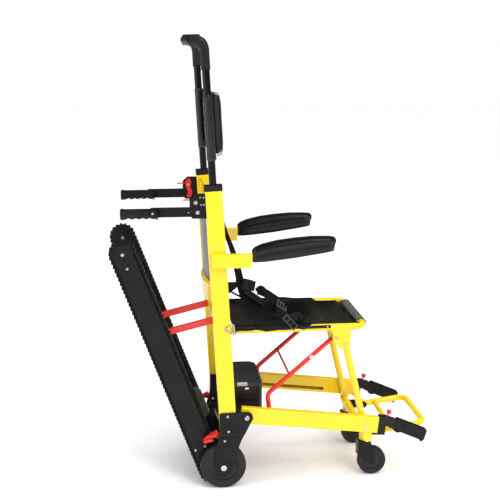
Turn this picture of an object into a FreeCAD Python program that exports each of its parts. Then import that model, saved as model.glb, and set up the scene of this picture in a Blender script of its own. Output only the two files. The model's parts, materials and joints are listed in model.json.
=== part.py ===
import FreeCAD, Part
import math
import os
import re
from types import SimpleNamespace

import Sketcher

# Powered tracked stair chair: a seat that folds on a four-bar frame, two rubber tracks that fold in
# behind the back posts, plain rear wheels, front casters, lifting handles and a telescopic handle.
# Frame: +X is the way the person sits facing, +Y their left, +Z up, with the floor at Z = 0.
# The layout below is worked out from the rear axle. place_part() then shifts every sub-part back
# by axle_back, so that the origin lies on the floor under the middle of the whole chair.

# ---------------------------------------------------------------- driving dimensions

DRIVING = (
    ("axle_back", 180, "rear axle behind the origin"),
    ("wheel_dia", 160, "rear wheel diameter"),
    ("wheel_width", 30, "rear wheel width"),
    ("wheel_out", 205, "rear wheel from the middle plane"),
    ("hub_dia", 104, "rear wheel hub disc"),
    ("axle_dia", 12, "axles and large pivot pins"),
    ("bolt_dia", 10, "small pivot pins"),
    ("running", 0.05, "radial clearance of every turning or sliding fit"),
    ("post_lean", 3.15, "degrees that the back posts lean back"),
    ("post_depth", 58, "post section, front to back"),
    ("post_width", 32, "post section, side to side"),
    ("post_wall", 2.5, "wall of the posts and beams"),
    ("post_height", 844, "length of a post"),
    ("post_out", 213.5, "post from the middle plane"),
    ("post_foot_ahead", 18, "foot of a post ahead of the axle"),
    ("post_foot_up", 205, "foot of a post above the floor"),
    ("tube_dia", 25, "seat and telescopic tubes"),
    ("leg_dia", 24, "front leg tube"),
    ("plate", 5, "side plates"),
    ("seat_up", 560, "seat tube and seat pivot above the floor"),
    ("seat_pivot_ahead", 8, "seat pivot ahead of the axle"),
    ("seat_front", 497, "front seat tube ahead of the axle"),
    ("seat_out", 182, "seat side tubes from the middle plane"),
    ("link_reach", 424, "seat pivot to gusset pivot, along X"),
    ("link_drop", 62, "seat pivot to gusset pivot, down"),
    ("leg_reach", 73, "front leg, along X"),
    ("leg_fall", 300, "front leg, down"),
    ("leg_out", 177.5, "front leg from the middle plane"),
    ("beam_slope", 6.7, "degrees that the lower beams slope down to the front"),
    ("beam_depth", 58, "lower beam section, top to bottom"),
    ("beam_width", 25, "lower beam section, side to side"),
    ("beam_out", 203.5, "lower beam from the middle plane"),
    ("beam_tail", 18, "beam behind its pivot"),
    ("beam_nose", 470, "beam ahead of its pivot"),
    ("track_tilt", 20.7, "degrees that the tracks lean back when they are let down"),
    ("track_centres", 837, "track pulleys, centre to centre"),
    ("track_out", 155, "track from the middle plane"),
    ("track_width", 44, "track belt width"),
    ("belt_inner", 39, "belt loop inside radius"),
    ("belt_outer", 42.5, "belt loop outside radius without its lugs"),
    ("lug_height", 4, "belt lugs"),
    ("lug_count", 124, "lugs round one belt"),
    ("drive_back", 36, "track drive shaft behind the rear axle"),
    ("drive_up", 48, "track drive shaft above the floor"),
    ("caster_dia", 102, "caster wheel diameter"),
    ("caster_width", 30, "caster wheel width"),
    ("caster_out", 147, "caster from the middle plane"),
    ("caster_ahead", 511, "caster swivel ahead of the rear axle"),
    ("caster_trail", 30, "caster wheel ahead of its swivel"),
    ("arm_out", 240, "armrest from the middle plane"),
    ("arm_up", 826, "armrest pivot above the floor"),
    ("arm_pivot_ahead", 80, "armrest pivot ahead of the axle"),
    ("arm_width", 46, "armrest width"),
    ("lift_handle_out", 218, "rear lifting handle from the middle plane"),
    ("head_up", 1536, "middle of the push bar above the floor"),
    ("head_back", 94, "middle of the push bar behind the axle"),
    ("head_bar_dia", 34, "push bar"),
    ("battery_wide", 260, "battery case, side to side"),
    ("battery_long", 116, "battery case, front to back"),
    ("battery_high", 112, "battery case without its lid"),
    ("footrest_out", 140, "footrest arms from the middle plane"),
    ("footrest_reach", 163, "footrest hinge to its front tube"),
    ("footrest_dia", 22, "footrest tube"),
    ("grip_slope", 23.3, "degrees that the front grips slope down"),
    ("grip_length", 119, "front grip length"),
)

doc = FreeCAD.newDocument("StairChair")
sheet = doc.addObject("Spreadsheet::Sheet", "Sizes")
for row, (alias, value, meaning) in enumerate(DRIVING, start=1):
    sheet.set(f"A{row}", meaning)
    sheet.set(f"B{row}", str(value))
    sheet.setAlias(f"B{row}", alias)
doc.recompute()

s = SimpleNamespace(**{alias: float(getattr(sheet, alias)) for alias, value, meaning in DRIVING})

V = FreeCAD.Vector
X_AXIS = V(1, 0, 0)
Y_AXIS = V(0, 1, 0)
Z_AXIS = V(0, 0, 1)
SIDES = ((-1, "right"), (1, "left"))
PARTS = []

# ---------------------------------------------------------------- building helpers


def formula(text):
    """Put the sheet's name in front of each alias in a formula."""
    names = {alias for alias, value, meaning in DRIVING}
    return re.sub(r"[a-z_]+", lambda m: "Sizes." + m.group(0) if m.group(0) in names else m.group(0), text)


def bind(obj, **properties):
    """Set each property to a number, or bind it to a formula of the driving dimensions."""
    for name, given in properties.items():
        if isinstance(given, str):
            obj.setExpression(name, formula(given))
        else:
            setattr(obj, name, given)
    obj.recompute()
    return obj


def cylinder(centre, radius, length, axis=Y_AXIS):
    """A cylinder about its middle point."""
    obj = bind(doc.addObject("Part::Cylinder", "Cylinder"), Radius=radius, Height=length)
    along = V(axis).normalize()
    base = V(centre) - along * (obj.Height.Value / 2)
    obj.Placement = FreeCAD.Placement(base, FreeCAD.Rotation(Z_AXIS, along))
    return obj


def box(centre, length, width, height, tilt=0.0):
    """A box about its middle point. A positive tilt turns its top forwards."""
    obj = bind(doc.addObject("Part::Box", "Box"), Length=length, Width=width, Height=height)
    turn = FreeCAD.Rotation(Y_AXIS, tilt)
    half = V(obj.Length.Value, obj.Width.Value, obj.Height.Value) * 0.5
    obj.Placement = FreeCAD.Placement(V(centre) - turn.multVec(half), turn)
    return obj


def cut(base, *tools):
    obj = doc.addObject("Part::Cut", "Cut")
    obj.Base = base
    obj.Tool = tools[0] if len(tools) == 1 else fuse(*tools)
    return obj


def fuse(*objects):
    if len(objects) == 1:
        return objects[0]
    obj = doc.addObject("Part::MultiFuse", "Fusion")
    obj.Shapes = list(objects)
    return obj


def common(first, second):
    obj = doc.addObject("Part::Common", "Common")
    obj.Base = first
    obj.Tool = second
    return obj


def group(*objects):
    """Separate solids of one kind kept together."""
    obj = doc.addObject("Part::Compound", "Group")
    obj.Links = list(objects)
    return obj


def closed_sketch(body, role, points):
    """A closed polygon on one of the body's own planes, every corner dimensioned from the origin."""
    sketch = body.newObject("Sketcher::SketchObject", "Outline")
    plane = next(f for f in body.Origin.OriginFeatures if f.Role == role)
    sketch.AttachmentSupport = [(plane, "")]
    sketch.MapMode = "FlatFace"
    count = len(points)
    for i in range(count):
        start = points[i]
        end = points[(i + 1) % count]
        sketch.addGeometry(Part.LineSegment(V(start[0], start[1], 0), V(end[0], end[1], 0)), False)
    for i in range(count):
        sketch.addConstraint(Sketcher.Constraint("Coincident", i, 2, (i + 1) % count, 1))
    for i, (across, up) in enumerate(points):
        sketch.addConstraint(Sketcher.Constraint("DistanceX", -1, 1, i, 1, across))
        sketch.addConstraint(Sketcher.Constraint("DistanceY", -1, 1, i, 1, up))
    return sketch


def pad(points, thickness, y=0.0, role="XZ_Plane"):
    """A plate: a polygon padded evenly to both sides of its plane, then moved to y."""
    body = doc.addObject("PartDesign::Body", "Plate")
    sketch = closed_sketch(body, role, points)
    feature = body.newObject("PartDesign::Pad", "Pad")
    feature.Profile = sketch
    feature.SideType = "Symmetric"
    bind(feature, Length=thickness)
    sketch.Visibility = False
    body.Placement.Base = V(0, y, 0)
    return body


def rounded(base, radius, chosen):
    """Round the edges that chosen(edge) picks."""
    doc.recompute()
    obj = doc.addObject("Part::Fillet", "Rounded")
    obj.Base = base
    obj.Edges = [(i, radius, radius) for i, edge in enumerate(base.Shape.Edges, start=1) if chosen(edge)]
    return obj


def runs_along(axis):
    """A test for straight edges that run along an axis."""
    def test(edge):
        if edge.Curve.TypeId != "Part::GeomLine":
            return False
        return abs(edge.Curve.Direction.dot(axis)) > 0.999
    return test


def is_circle(edge):
    return edge.Curve.TypeId == "Part::GeomCircle"


def ring(centre, outer, inner, length, axis=Y_AXIS):
    return cut(cylinder(centre, outer, length, axis), cylinder(centre, inner, f"({length}) + 2", axis))


def bent_tube(points, radius, bend):
    """A round bar along points, its corners bent to the radius bend."""
    pieces = []
    start = V(points[0])
    for i in range(1, len(points)):
        corner = V(points[i])
        last = i == len(points) - 1
        end = corner
        if not last:
            back = (V(points[i - 1]) - corner).normalize()
            ahead = (V(points[i + 1]) - corner).normalize()
            turn = math.pi - back.getAngle(ahead)
            setback = bend * math.tan(turn / 2)
            end = corner + back * setback
        run = end - start
        pieces.append(cylinder((start + end) * 0.5, radius, run.Length, run))
        if not last:
            centre = corner + (back + ahead).normalize() * (bend / math.cos(turn / 2))
            leaving = corner + ahead * setback
            pieces.append(elbow(centre, end - centre, leaving - centre, radius, bend))
            start = leaving
    return fuse(*pieces)


def elbow(centre, first, second, radius, bend):
    """The bent stretch of a round bar, from the spoke first to the spoke second."""
    obj = doc.addObject("Part::Torus", "Elbow")
    bind(obj, Radius1=bend, Radius2=radius, Angle3=math.degrees(first.getAngle(second)))
    turn = FreeCAD.Rotation(V(first), V(), first.cross(second), "ZXY")
    obj.Placement = FreeCAD.Placement(centre, turn)
    return obj


def cone(centre, base_radius, top_radius, height, axis):
    obj = bind(doc.addObject("Part::Cone", "Cone"), Radius1=base_radius, Radius2=top_radius, Height=height)
    along = V(axis).normalize()
    obj.Placement = FreeCAD.Placement(V(centre) - along * (height / 2), FreeCAD.Rotation(Z_AXIS, along))
    return obj


def bolt(x, z, face, side, head_radius=5.0, shank=4.5):
    """A button-head bolt whose head rests on the outer face of a plate, at the distance face."""
    head_height = head_radius * 0.6
    head = cone(V(x, side * (face + head_height / 2), z), head_radius, head_radius * 0.7, head_height,
                Y_AXIS * side)
    stem = cylinder(V(x, side * (face - shank / 2), z), head_radius * 0.5, shank)
    return fuse(head, stem)


def place_part(label, obj):
    """Name a sub-part, move it to the chair's own origin and keep it for the export."""
    obj.Label = label
    shift = FreeCAD.Placement(V(-s.axle_back, 0, 0), FreeCAD.Rotation())
    obj.Placement = shift * obj.Placement
    PARTS.append(obj)
    return obj


# ---------------------------------------------------------------- layout

LEAN = math.radians(s.post_lean)
POST_UP = V(-math.sin(LEAN), 0, math.cos(LEAN))
POST_AHEAD = V(math.cos(LEAN), 0, math.sin(LEAN))
POST_FOOT = V(s.post_foot_ahead, 0, s.post_foot_up)
POST_INNER = s.post_out - s.post_width / 2
POST_OUTER = s.post_out + s.post_width / 2

SEAT_PIVOT = V(s.seat_pivot_ahead, 0, s.seat_up)
GUSSET_PIVOT = SEAT_PIVOT + V(s.link_reach, 0, -s.link_drop)
LEG_FOOT = GUSSET_PIVOT + V(s.leg_reach, 0, -s.leg_fall)
BEAM_PIVOT = SEAT_PIVOT + V(s.leg_reach, 0, -s.leg_fall)
BEAM_SLOPE = math.radians(s.beam_slope)
BEAM_ALONG = V(math.cos(BEAM_SLOPE), 0, -math.sin(BEAM_SLOPE))
BEAM_UP = V(math.sin(BEAM_SLOPE), 0, math.cos(BEAM_SLOPE))
BEAM_INNER = s.beam_out - s.beam_width / 2
BEAM_OUTER = s.beam_out + s.beam_width / 2

TILT = math.radians(s.track_tilt)
DRIVE = V(-s.drive_back, 0, s.drive_up)
TRACK_UP = V(-math.sin(TILT), 0, math.cos(TILT))
TRACK_AHEAD = V(math.cos(TILT), 0, math.sin(TILT))
TRACK_INNER = s.track_out - s.track_width / 2
TRACK_OUTER = s.track_out + s.track_width / 2

AXLE = V(0, 0, s.wheel_dia / 2)
PIN = "axle_dia / 2"
PIN_BORE = "axle_dia / 2 + running"
SMALL_PIN = "bolt_dia / 2"
SMALL_BORE = "bolt_dia / 2 + running"
LINK_PIVOT = V(-14, 0, 584)
LINK_OUT = 120
STAY_OUT = 155
STAY_TOP = V(398, 0, 519)
HANDLE_PIVOT = V(-82, 0, 979)
LEVER_PIVOT = V(-88, 0, 1012)
BRACKET_WIDTH = 23


def at_y(point, y):
    return V(point.x, y, point.z)


def on_post(up, ahead=0.0, y=0.0):
    """A point measured up a post from its foot and forwards from its middle line."""
    return POST_FOOT + POST_UP * up + POST_AHEAD * ahead + V(0, y, 0)


def post_up_at(z):
    """How far up the post the height z lies."""
    return (z - s.post_foot_up) / math.cos(LEAN)


def on_beam(along, up=0.0, y=0.0):
    """A point measured along a lower beam from its pivot and up from its middle line."""
    return BEAM_PIVOT + BEAM_ALONG * along + BEAM_UP * up + V(0, y, 0)


def on_track(up, ahead=0.0, y=0.0):
    """A point measured up a track from its drive shaft and forwards from its middle line."""
    return DRIVE + TRACK_UP * up + TRACK_AHEAD * ahead + V(0, y, 0)


def xz(point):
    return (point.x, point.z)


# ---------------------------------------------------------------- back frame


def back_posts():
    posts = []
    for side, name in SIDES:
        middle = on_post(s.post_height / 2, 0, side * s.post_out)
        outer = box(middle, "post_depth", "post_width", "post_height", -s.post_lean)
        inner = box(middle, "post_depth - 2 * post_wall", "post_width - 2 * post_wall", "post_height + 4",
                    -s.post_lean)
        soft = rounded(outer, 3, runs_along(POST_UP))
        posts.append(cut(soft, inner))
    place_part("back_posts", group(*posts))


def post_collars():
    """Plastic caps on the posts that guide the telescopic tubes."""
    collars = []
    cap_height = 20
    guide_height = 40
    for side, name in SIDES:
        y = side * s.post_out
        cap = box(on_post(s.post_height + cap_height / 2, 0, y), "post_depth + 2", "post_width + 2",
                  cap_height, -s.post_lean)
        guide = box(on_post(s.post_height - guide_height / 2, 0, y), "post_depth - 2 * post_wall - 1",
                    "post_width - 2 * post_wall - 0.4", guide_height, -s.post_lean)
        bore = cylinder(on_post(s.post_height, 0, y), "tube_dia / 2 + running", 120, POST_UP)
        collars.append(cut(fuse(rounded(cap, 2, runs_along(POST_UP)), guide), bore))
    place_part("post_collars", group(*collars))


def top_cross_bracket():
    """The folded yellow plate between the post tops, with a round opening beside each post."""
    wide = 2 * POST_INNER
    up = s.post_height - 36
    web = box(on_post(up, -16), 4, wide, 60, -s.post_lean)
    lip = box(on_post(up - 28, 0), 36, wide, 4, -s.post_lean)
    holes = [cylinder(on_post(up + 2, -16, side * (POST_INNER - 34)), 18, 20, POST_AHEAD)
             for side, name in SIDES]
    place_part("top_cross_bracket", cut(fuse(web, lip), *holes))


def frame_cross_tubes():
    """Tubes welded between the posts: two behind the battery and one that carries the red links."""
    wide = 2 * POST_INNER
    lower = [cylinder(V(24, 0, 246), 10, wide - 2 * s.plate), cylinder(V(24, 0, 326), 10, wide)]
    link_tube = cylinder(LINK_PIVOT, SMALL_PIN, wide)
    stop_inner = LINK_OUT + 17.5
    stop_outer = s.seat_out - 17
    stop_middle = (stop_inner + stop_outer) / 2
    stops = [ring(at_y(LINK_PIVOT, side * stop_middle), 12.5, SMALL_PIN, stop_outer - stop_inner)
             for side, name in SIDES]
    middle = ring(LINK_PIVOT, 12.5, SMALL_PIN, 2 * (LINK_OUT - 12))
    place_part("frame_cross_tubes", group(*lower, fuse(link_tube, *stops, middle)))


def joggled_sheet(side, low_face, high_face, low_z, high_z):
    """A plate seen edge on, stepped from the distance low_face to the distance high_face."""
    top = s.post_foot_up + 90
    t = s.plate
    points = [(side * low_face, 10), (side * (low_face + t), 10), (side * (low_face + t), low_z),
              (side * (high_face + t), high_z), (side * (high_face + t), top), (side * high_face, top),
              (side * high_face, high_z + 2), (side * low_face, low_z + 2)]
    return pad(points, 400, role="YZ_Plane")


PLATE_BOLTS = ((14, 268), (17, 214), (4, 178))
PEDAL_PIVOT = V(-4, 0, 186)


def side_plates():
    """Black plates that join each post to its wheel, its lower beam and the track drive shaft."""
    outer_plates = []
    inner_plates = []
    outer_low = s.wheel_out + s.wheel_width / 2 + 4.5
    inner_low = s.wheel_out - s.wheel_width / 2 - 3 - s.plate
    for side, name in SIDES:
        y = side * s.wheel_out
        blank = pad([(-14, 279), (78, 281), (101.5, 256), (62, 176), (53, 150), (30, 82), (-30, 78),
                     (-25, 158), (-13, 204)], 90, y)
        lobe = cylinder(at_y(BEAM_PIVOT, y), 21, 90)
        foot = cylinder(at_y(AXLE, y), 30, 90)
        outline = rounded(blank, 6, corner_at((-14, 279)))
        outer = common(fuse(outline, lobe, foot),
                       joggled_sheet(side, outer_low, POST_OUTER, 187, 201))
        axle_hole = cylinder(at_y(AXLE, y), PIN_BORE, 120)
        beam_hole = cylinder(at_y(BEAM_PIVOT, y), PIN_BORE, 120)
        bolt_holes = [cylinder(V(x, y, z), 2.6, 120) for x, z in PLATE_BOLTS]
        outer_plates.append(cut(outer, axle_hole, beam_hole, *bolt_holes))
        inner_blank = pad([(-14, 279), (40, 279), (44, 200), (30, 82), (8, 56), (-36, 24), (-62, 42),
                           (-55, 70), (-24, 130), (-13, 204)], 90, y)
        inner = common(inner_blank, joggled_sheet(side, inner_low, POST_INNER - s.plate, 172, 198))
        drive_hole = cylinder(at_y(DRIVE, y), "axle_dia / 2 + 2 + running", 120)
        axle_hole = cylinder(at_y(AXLE, y), PIN_BORE, 120)
        pedal_hole = cylinder(at_y(PEDAL_PIVOT, y), SMALL_PIN, 120)
        inner_plates.append(cut(inner, axle_hole, drive_hole, pedal_hole))
    place_part("side_plates", group(*outer_plates))
    place_part("inner_side_plates", group(*inner_plates))


def corner_at(point):
    """A test for the edge through one corner of a plate's outline."""
    def test(edge):
        middle = edge.BoundBox.Center
        return runs_along(Y_AXIS)(edge) and abs(middle.x - point[0]) < 1 and abs(middle.z - point[1]) < 1
    return test


def wheel_axles():
    """Fixed stub axles of the rear wheels, with a hex head outside the outer plate."""
    axles = []
    inner_end = s.wheel_out - s.wheel_width / 2 - 3 - s.plate
    outer_end = s.wheel_out + s.wheel_width / 2 + 4.5 + s.plate
    for side, name in SIDES:
        length = outer_end - inner_end
        pin = cylinder(at_y(AXLE, side * (inner_end + length / 2)), PIN, length)
        head = pad(hexagon(AXLE, 11), 7, side * (outer_end + 3.5))
        axles.append(fuse(pin, head))
    place_part("wheel_axles", group(*axles))


def hexagon(centre, radius):
    corners = [math.radians(60 * i) for i in range(6)]
    return [(centre.x + radius * math.cos(a), centre.z + radius * math.sin(a)) for a in corners]


def rear_wheels():
    for side, name in SIDES:
        middle = at_y(AXLE, side * s.wheel_out)
        tyre = rounded(cylinder(middle, "wheel_dia / 2", "wheel_width"), 7, is_circle)
        hub = cylinder(middle, "hub_dia / 2", "wheel_width - 8")
        dish = [cylinder(middle + V(0, i * 15, 0), 40, 12) for i in (-1, 1)]
        boss = ring(middle, 17, PIN_BORE, "wheel_width")
        bore = cylinder(middle, PIN_BORE, 60)
        rim = cut(tyre, cylinder(middle, "hub_dia / 2", 60))
        disc = cut(fuse(cut(hub, *dish), boss), bore)
        place_part(f"rear_wheel_{name}", group(rim, disc))


def battery():
    """Battery case with its cells, lid and catch, bolted to the lower cross tubes."""
    wall = 3
    rear = 34
    bottom = 225
    middle = V(rear + s.battery_long / 2, 0, bottom + s.battery_high / 2)
    shell = rounded(box(middle, "battery_long", "battery_wide", "battery_high"), 34, front_corner)
    inner = box(middle + V(0, 0, wall), f"battery_long - {2 * wall}", f"battery_wide - {2 * wall}",
                "battery_high")
    corner_fill = box(middle, "battery_long", "battery_wide", "battery_high")
    hollow = common(inner, rounded(corner_fill, 38, front_corner))
    place_part("battery_case", cut(shell, hollow))
    cells = box(middle - V(2, 0, 4), "battery_long - 24", "battery_wide - 50", "battery_high - 24")
    place_part("battery_pack", rounded(cells, 4, runs_along(Z_AXIS)))
    lid_height = 12
    lid_middle = V(middle.x, 0, bottom + s.battery_high + lid_height / 2)
    lid = rounded(box(lid_middle, "battery_long", "battery_wide", lid_height), 34, front_corner)
    place_part("battery_lid", rounded(lid, 4, top_edge(lid_middle.z + lid_height / 2)))
    catch = box(V(92, -(s.battery_wide / 2 + 1.7), bottom + s.battery_high - 6), 14, 3, 7)
    place_part("battery_catch", rounded(catch, 1, runs_along(Z_AXIS)))


def front_corner(edge):
    return runs_along(Z_AXIS)(edge) and edge.BoundBox.Center.x > 100


def top_edge(z):
    def test(edge):
        return abs(edge.BoundBox.ZMin - z) < 0.01 and abs(edge.BoundBox.ZMax - z) < 0.01
    return test


def curved_sheet(low, high, thickness, bulge, edge_ahead):
    """A sheet between the posts that bulges backwards, from the height low to the height high."""
    half = POST_INNER - 0.5
    radius = (half * half + bulge * bulge) / (2 * bulge)
    middle_up = post_up_at((low + high) / 2)
    height = (high - low) / math.cos(LEAN)
    axis_point = on_post(middle_up, edge_ahead - bulge + radius)
    slab = ring(axis_point, radius, radius - thickness, height, POST_UP)
    window = box(on_post(middle_up, edge_ahead - bulge / 2), bulge + 30, 2 * half, height + 10, -s.post_lean)
    return common(slab, window)


def backrest():
    place_part("backrest_sheet", curved_sheet(724, 962, 6, 24, -12))
    place_part("backrest_panel", curved_sheet(652, 716, 3, 34, -12))


def arm_brackets():
    """Yellow channels welded outside the posts, open at the front for the armrest hinges."""
    brackets = []
    width = 2 * (s.arm_out - POST_OUTER)
    for side, name in SIDES:
        y = side * s.arm_out
        bar = pad([(-36, 792), (92, 792), (95.5, 796), (95.5, 832.5), (91.5, 838), (-40, 838)], width, y)
        slot = box(V(75, y, s.arm_up), 80, 11, 80)
        bore = arm_pin(side)
        brackets.append(cut(bar, slot, bore))
    place_part("arm_brackets", group(*brackets))


def arm_pin(side):
    """An armrest's pivot pin, pressed in from the inner face and closed over at the outer one."""
    return cylinder(V(s.arm_pivot_ahead, side * (s.arm_out - 1.5), s.arm_up), SMALL_PIN, 18)


def armrests():
    """Moulded armrests, each with a steel hinge lug that turns in its bracket."""
    for side, name in SIDES:
        y = side * s.arm_out
        shape = pad([(98, 808), (97, 854), (150, 872), (230, 888), (300, 894), (352, 891), (379, 880),
                     (374, 846), (330, 833), (200, 818)], "arm_width", y)
        soft = rounded(shape, 12, long_edge(y))
        lug = pad([(60, 803), (84, 803), (98, 812), (98, 850), (60, 828)], 10, y)
        bore = cylinder(V(s.arm_pivot_ahead, y, s.arm_up), SMALL_BORE, 40)
        place_part(f"armrest_{name}", group(soft, cut(lug, bore)))


def long_edge(y):
    """A test for the top edges of an armrest's two sides."""
    def test(edge):
        box_middle = edge.BoundBox.Center
        flat = edge.BoundBox.YLength < 0.01
        return flat and box_middle.z > 856 and box_middle.x < 376 and abs(box_middle.y - y) > 1
    return test


def frame_bolts():
    """Bolts and pivot pins that belong to the back frame."""
    outer_low = s.wheel_out + s.wheel_width / 2 + 4.5 + s.plate
    pieces = []
    for side, name in SIDES:
        pieces += [bolt(x, z, POST_OUTER + s.plate if z > 200 else outer_low, side) for x, z in PLATE_BOLTS]
        pieces.append(pivot_pin(BEAM_PIVOT, side, BEAM_INNER - 6, POST_OUTER + s.plate, PIN, 10))
        pieces.append(pivot_pin(SEAT_PIVOT, side, s.seat_out - 17, POST_INNER, PIN, 10))
        pieces.append(arm_pin(side))
        pieces += bracket_pins(side)
        pieces.append(pedal_pin(side))
    place_part("frame_bolts", group(*pieces))


def pivot_pin(point, side, inner, outer, radius, head_radius):
    """A pin from the distance inner to the distance outer, with a head inside."""
    stem = cylinder(at_y(point, side * (inner + outer) / 2), radius, outer - inner)
    head = cylinder(at_y(point, side * (inner - 2)), head_radius, 4)
    return fuse(stem, head)


def bracket_pins(side):
    """Pins of one lifting handle and its latch, and the small screws of its bracket."""
    pieces = []
    outer = s.lift_handle_out + BRACKET_WIDTH / 2
    for point, beyond in ((HANDLE_PIVOT, 0), (LEVER_PIVOT, 6)):
        inner = s.lift_handle_out - BRACKET_WIDTH / 2 - beyond
        stem = cylinder(at_y(point, side * (inner + outer) / 2), SMALL_PIN, outer - inner)
        head = cylinder(at_y(point, side * (outer + 1.5)), 7, 3)
        pieces.append(fuse(stem, head))
    for x, z in ((-73, 1028), (-62, 1028), (-70, 1004), (-61, 1004)):
        pieces.append(cylinder(V(x, side * (outer + 0.8), z), 2.6, 1.6))
    return pieces


def pedal_pin(side):
    """The pin between an inner and an outer plate that one brake pedal turns on."""
    inner = s.wheel_out - s.wheel_width / 2 - 3
    outer = s.wheel_out + s.wheel_width / 2 + 4.5
    return cylinder(at_y(PEDAL_PIVOT, side * (inner + outer) / 2), SMALL_PIN, outer - inner)


# ---------------------------------------------------------------- telescopic handle and headrest


def telescopic_handle():
    """Two round tubes that slide in the posts, under a push bar."""
    tube_low = s.post_height - 280
    tube_high = post_up_at(1502)
    length = tube_high - tube_low
    tubes = [cylinder(on_post(tube_low + length / 2, 0, side * s.post_out), "tube_dia / 2", length, POST_UP)
             for side, name in SIDES]
    place_part("handle_tubes", group(*tubes))
    cuff_low = post_up_at(1442)
    cuff_high = post_up_at(1512)
    top = on_post(cuff_high)
    pieces = []
    bores = []
    for side, name in SIDES:
        y = side * s.post_out
        cuff = cylinder(on_post((cuff_low + cuff_high) / 2, 0, y), 15, cuff_high - cuff_low, POST_UP)
        collar = cylinder(on_post(cuff_low + 1.5, 0, y), 16.5, 3, POST_UP)
        arm = pad([(top.x - 14.5, 1500), (top.x + 14.5, 1500), (top.x + 14.5, 1532), (top.x + 4, 1554),
                   (-s.head_back - 17, 1554), (-s.head_back - 17, 1519), (top.x - 22, 1519)], 29, y)
        pieces += [cuff, collar, rounded(arm, 6, outer_arm_edge(top.x))]
        bores.append(cylinder(on_post((tube_low + tube_high) / 2 + 0.2, 0, y), "tube_dia / 2 + running",
                              length, POST_UP))
    bar = cylinder(V(-s.head_back, 0, s.head_up), "head_bar_dia / 2", "2 * post_out - 20")
    place_part("handle_head", cut(fuse(bar, *pieces), *bores))


def outer_arm_edge(front):
    """A test for the outer corners of a push bar arm, seen from the side."""
    def test(edge):
        middle = edge.BoundBox.Center
        return runs_along(Y_AXIS)(edge) and (middle.z > 1530 or (middle.z > 1517 and middle.x < front - 40))
    return test


def headrest():
    """Stitched headrest: a pad between two sleeves that grip the telescopic tubes."""
    low = post_up_at(1165)
    high = post_up_at(1386)
    sleeve_low = post_up_at(1147)
    sleeve_high = post_up_at(1362)
    cushion = box(on_post((low + high) / 2, 28.5), 29, "2 * post_out - 10", high - low, -s.post_lean)
    pieces = [rounded(cushion, 9, front_edge_of_pad)]
    bores = []
    for side, name in SIDES:
        middle = on_post((sleeve_low + sleeve_high) / 2, 0, side * s.post_out)
        pieces.append(cylinder(middle, "tube_dia / 2 + 2.5", sleeve_high - sleeve_low, POST_UP))
        bores.append(cylinder(middle, "tube_dia / 2 + 0.4", 300, POST_UP))
    place_part("headrest", cut(fuse(*pieces), *bores))


def front_edge_of_pad(edge):
    return runs_along(Y_AXIS)(edge)


# ---------------------------------------------------------------- rear lifting handles

def rear_face(z):
    """The back of the posts at the height z."""
    return on_post(post_up_at(z)).x - s.post_depth / 2 / math.cos(math.radians(s.post_lean))


def handle_brackets():
    """Black clevis brackets on the backs of the posts."""
    brackets = []
    for side, name in SIDES:
        y = side * s.lift_handle_out
        cheek_shape = [(rear_face(1038), 1038), (-90, 1038), (-107, 1022), (-107, 968), (-98, 958),
                       (rear_face(958), 958)]
        block = pad(cheek_shape, BRACKET_WIDTH, y)
        gap = box(V(-94.5, y, 990), 60, 13, 120)
        holes = [cylinder(at_y(point, y), SMALL_PIN, 60) for point in (HANDLE_PIVOT, LEVER_PIVOT)]
        brackets.append(cut(block, gap, *holes))
    place_part("handle_brackets", group(*brackets))


def rear_handles():
    """Flat bars with finger-grooved grips that fold down behind the posts."""
    for side, name in SIDES:
        y = side * s.lift_handle_out
        bar = pad([(-240, 963), (HANDLE_PIVOT.x, 963), (HANDLE_PIVOT.x, 995), (-240, 995)], 10, y)
        eye = cylinder(at_y(HANDLE_PIVOT, y), 16, 10)
        bore = cylinder(at_y(HANDLE_PIVOT, y), SMALL_BORE, 40)
        blade = cut(fuse(bar, eye), bore)
        grip_middle = V(-275, y, 975)
        grip = rounded(cylinder(grip_middle, 17.5, 120, X_AXIS), 5, is_circle)
        guard = rounded(cylinder(V(-217, y, 975), 21, 5, X_AXIS), 2, is_circle)
        flare = rounded(cylinder(V(-330, y, 975), 20, 12, X_AXIS), 5, is_circle)
        fingers = [cylinder(V(x, y, 946), 14, 50) for x in (-240, -262, -284, -306)]
        slot = box(V(-228, y, 979), 26, 10.4, 32.4)
        place_part(f"rear_handle_{name}", group(blade, cut(fuse(grip, guard, flare), slot, *fingers)))


def latch_levers():
    """Red levers on the inner cheeks that release the lifting handles."""
    for side, name in SIDES:
        y = side * (s.lift_handle_out - BRACKET_WIDTH / 2 - 3)
        plate = pad([(-94, 1034), (-82, 1036), (-76, 1022), (-80, 1004), (-72, 984), (-78, 966), (-92, 962),
                     (-94, 972), (-88, 984), (-97, 1004), (-100, 1020)], 4.6, y)
        soft = rounded(plate, 3, runs_along(Y_AXIS))
        rod = cylinder(V(-112, y, 1017), 2.2, 34, X_AXIS)
        bore = cylinder(at_y(LEVER_PIVOT, y), SMALL_BORE, 20)
        place_part(f"latch_lever_{name}", cut(fuse(soft, rod), bore))


# ---------------------------------------------------------------- track unit

LINK_TRACK_UP = 516
LINK_TRACK_AHEAD = 30


def stadium(radius, width, y):
    """The outline of one track: two round ends and the straight runs between them."""
    middle = on_track(s.track_centres / 2, 0, y)
    straight = box(middle, 2 * radius, width, "track_centres", -s.track_tilt)
    ends = [cylinder(on_track(up, 0, y), radius, width) for up in (0, s.track_centres)]
    return fuse(straight, *ends)


def track_belts():
    """Rubber belts with a lug across every pitch."""
    for side, name in SIDES:
        y = side * s.track_out
        loop = cut(stadium(s.belt_outer, "track_width", y), stadium(s.belt_inner, 80, y))
        lugs = [lug(place, y) for place in lug_places(s.belt_outer + 1)]
        place_part(f"track_belt_{name}", fuse(loop, *lugs))


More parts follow.
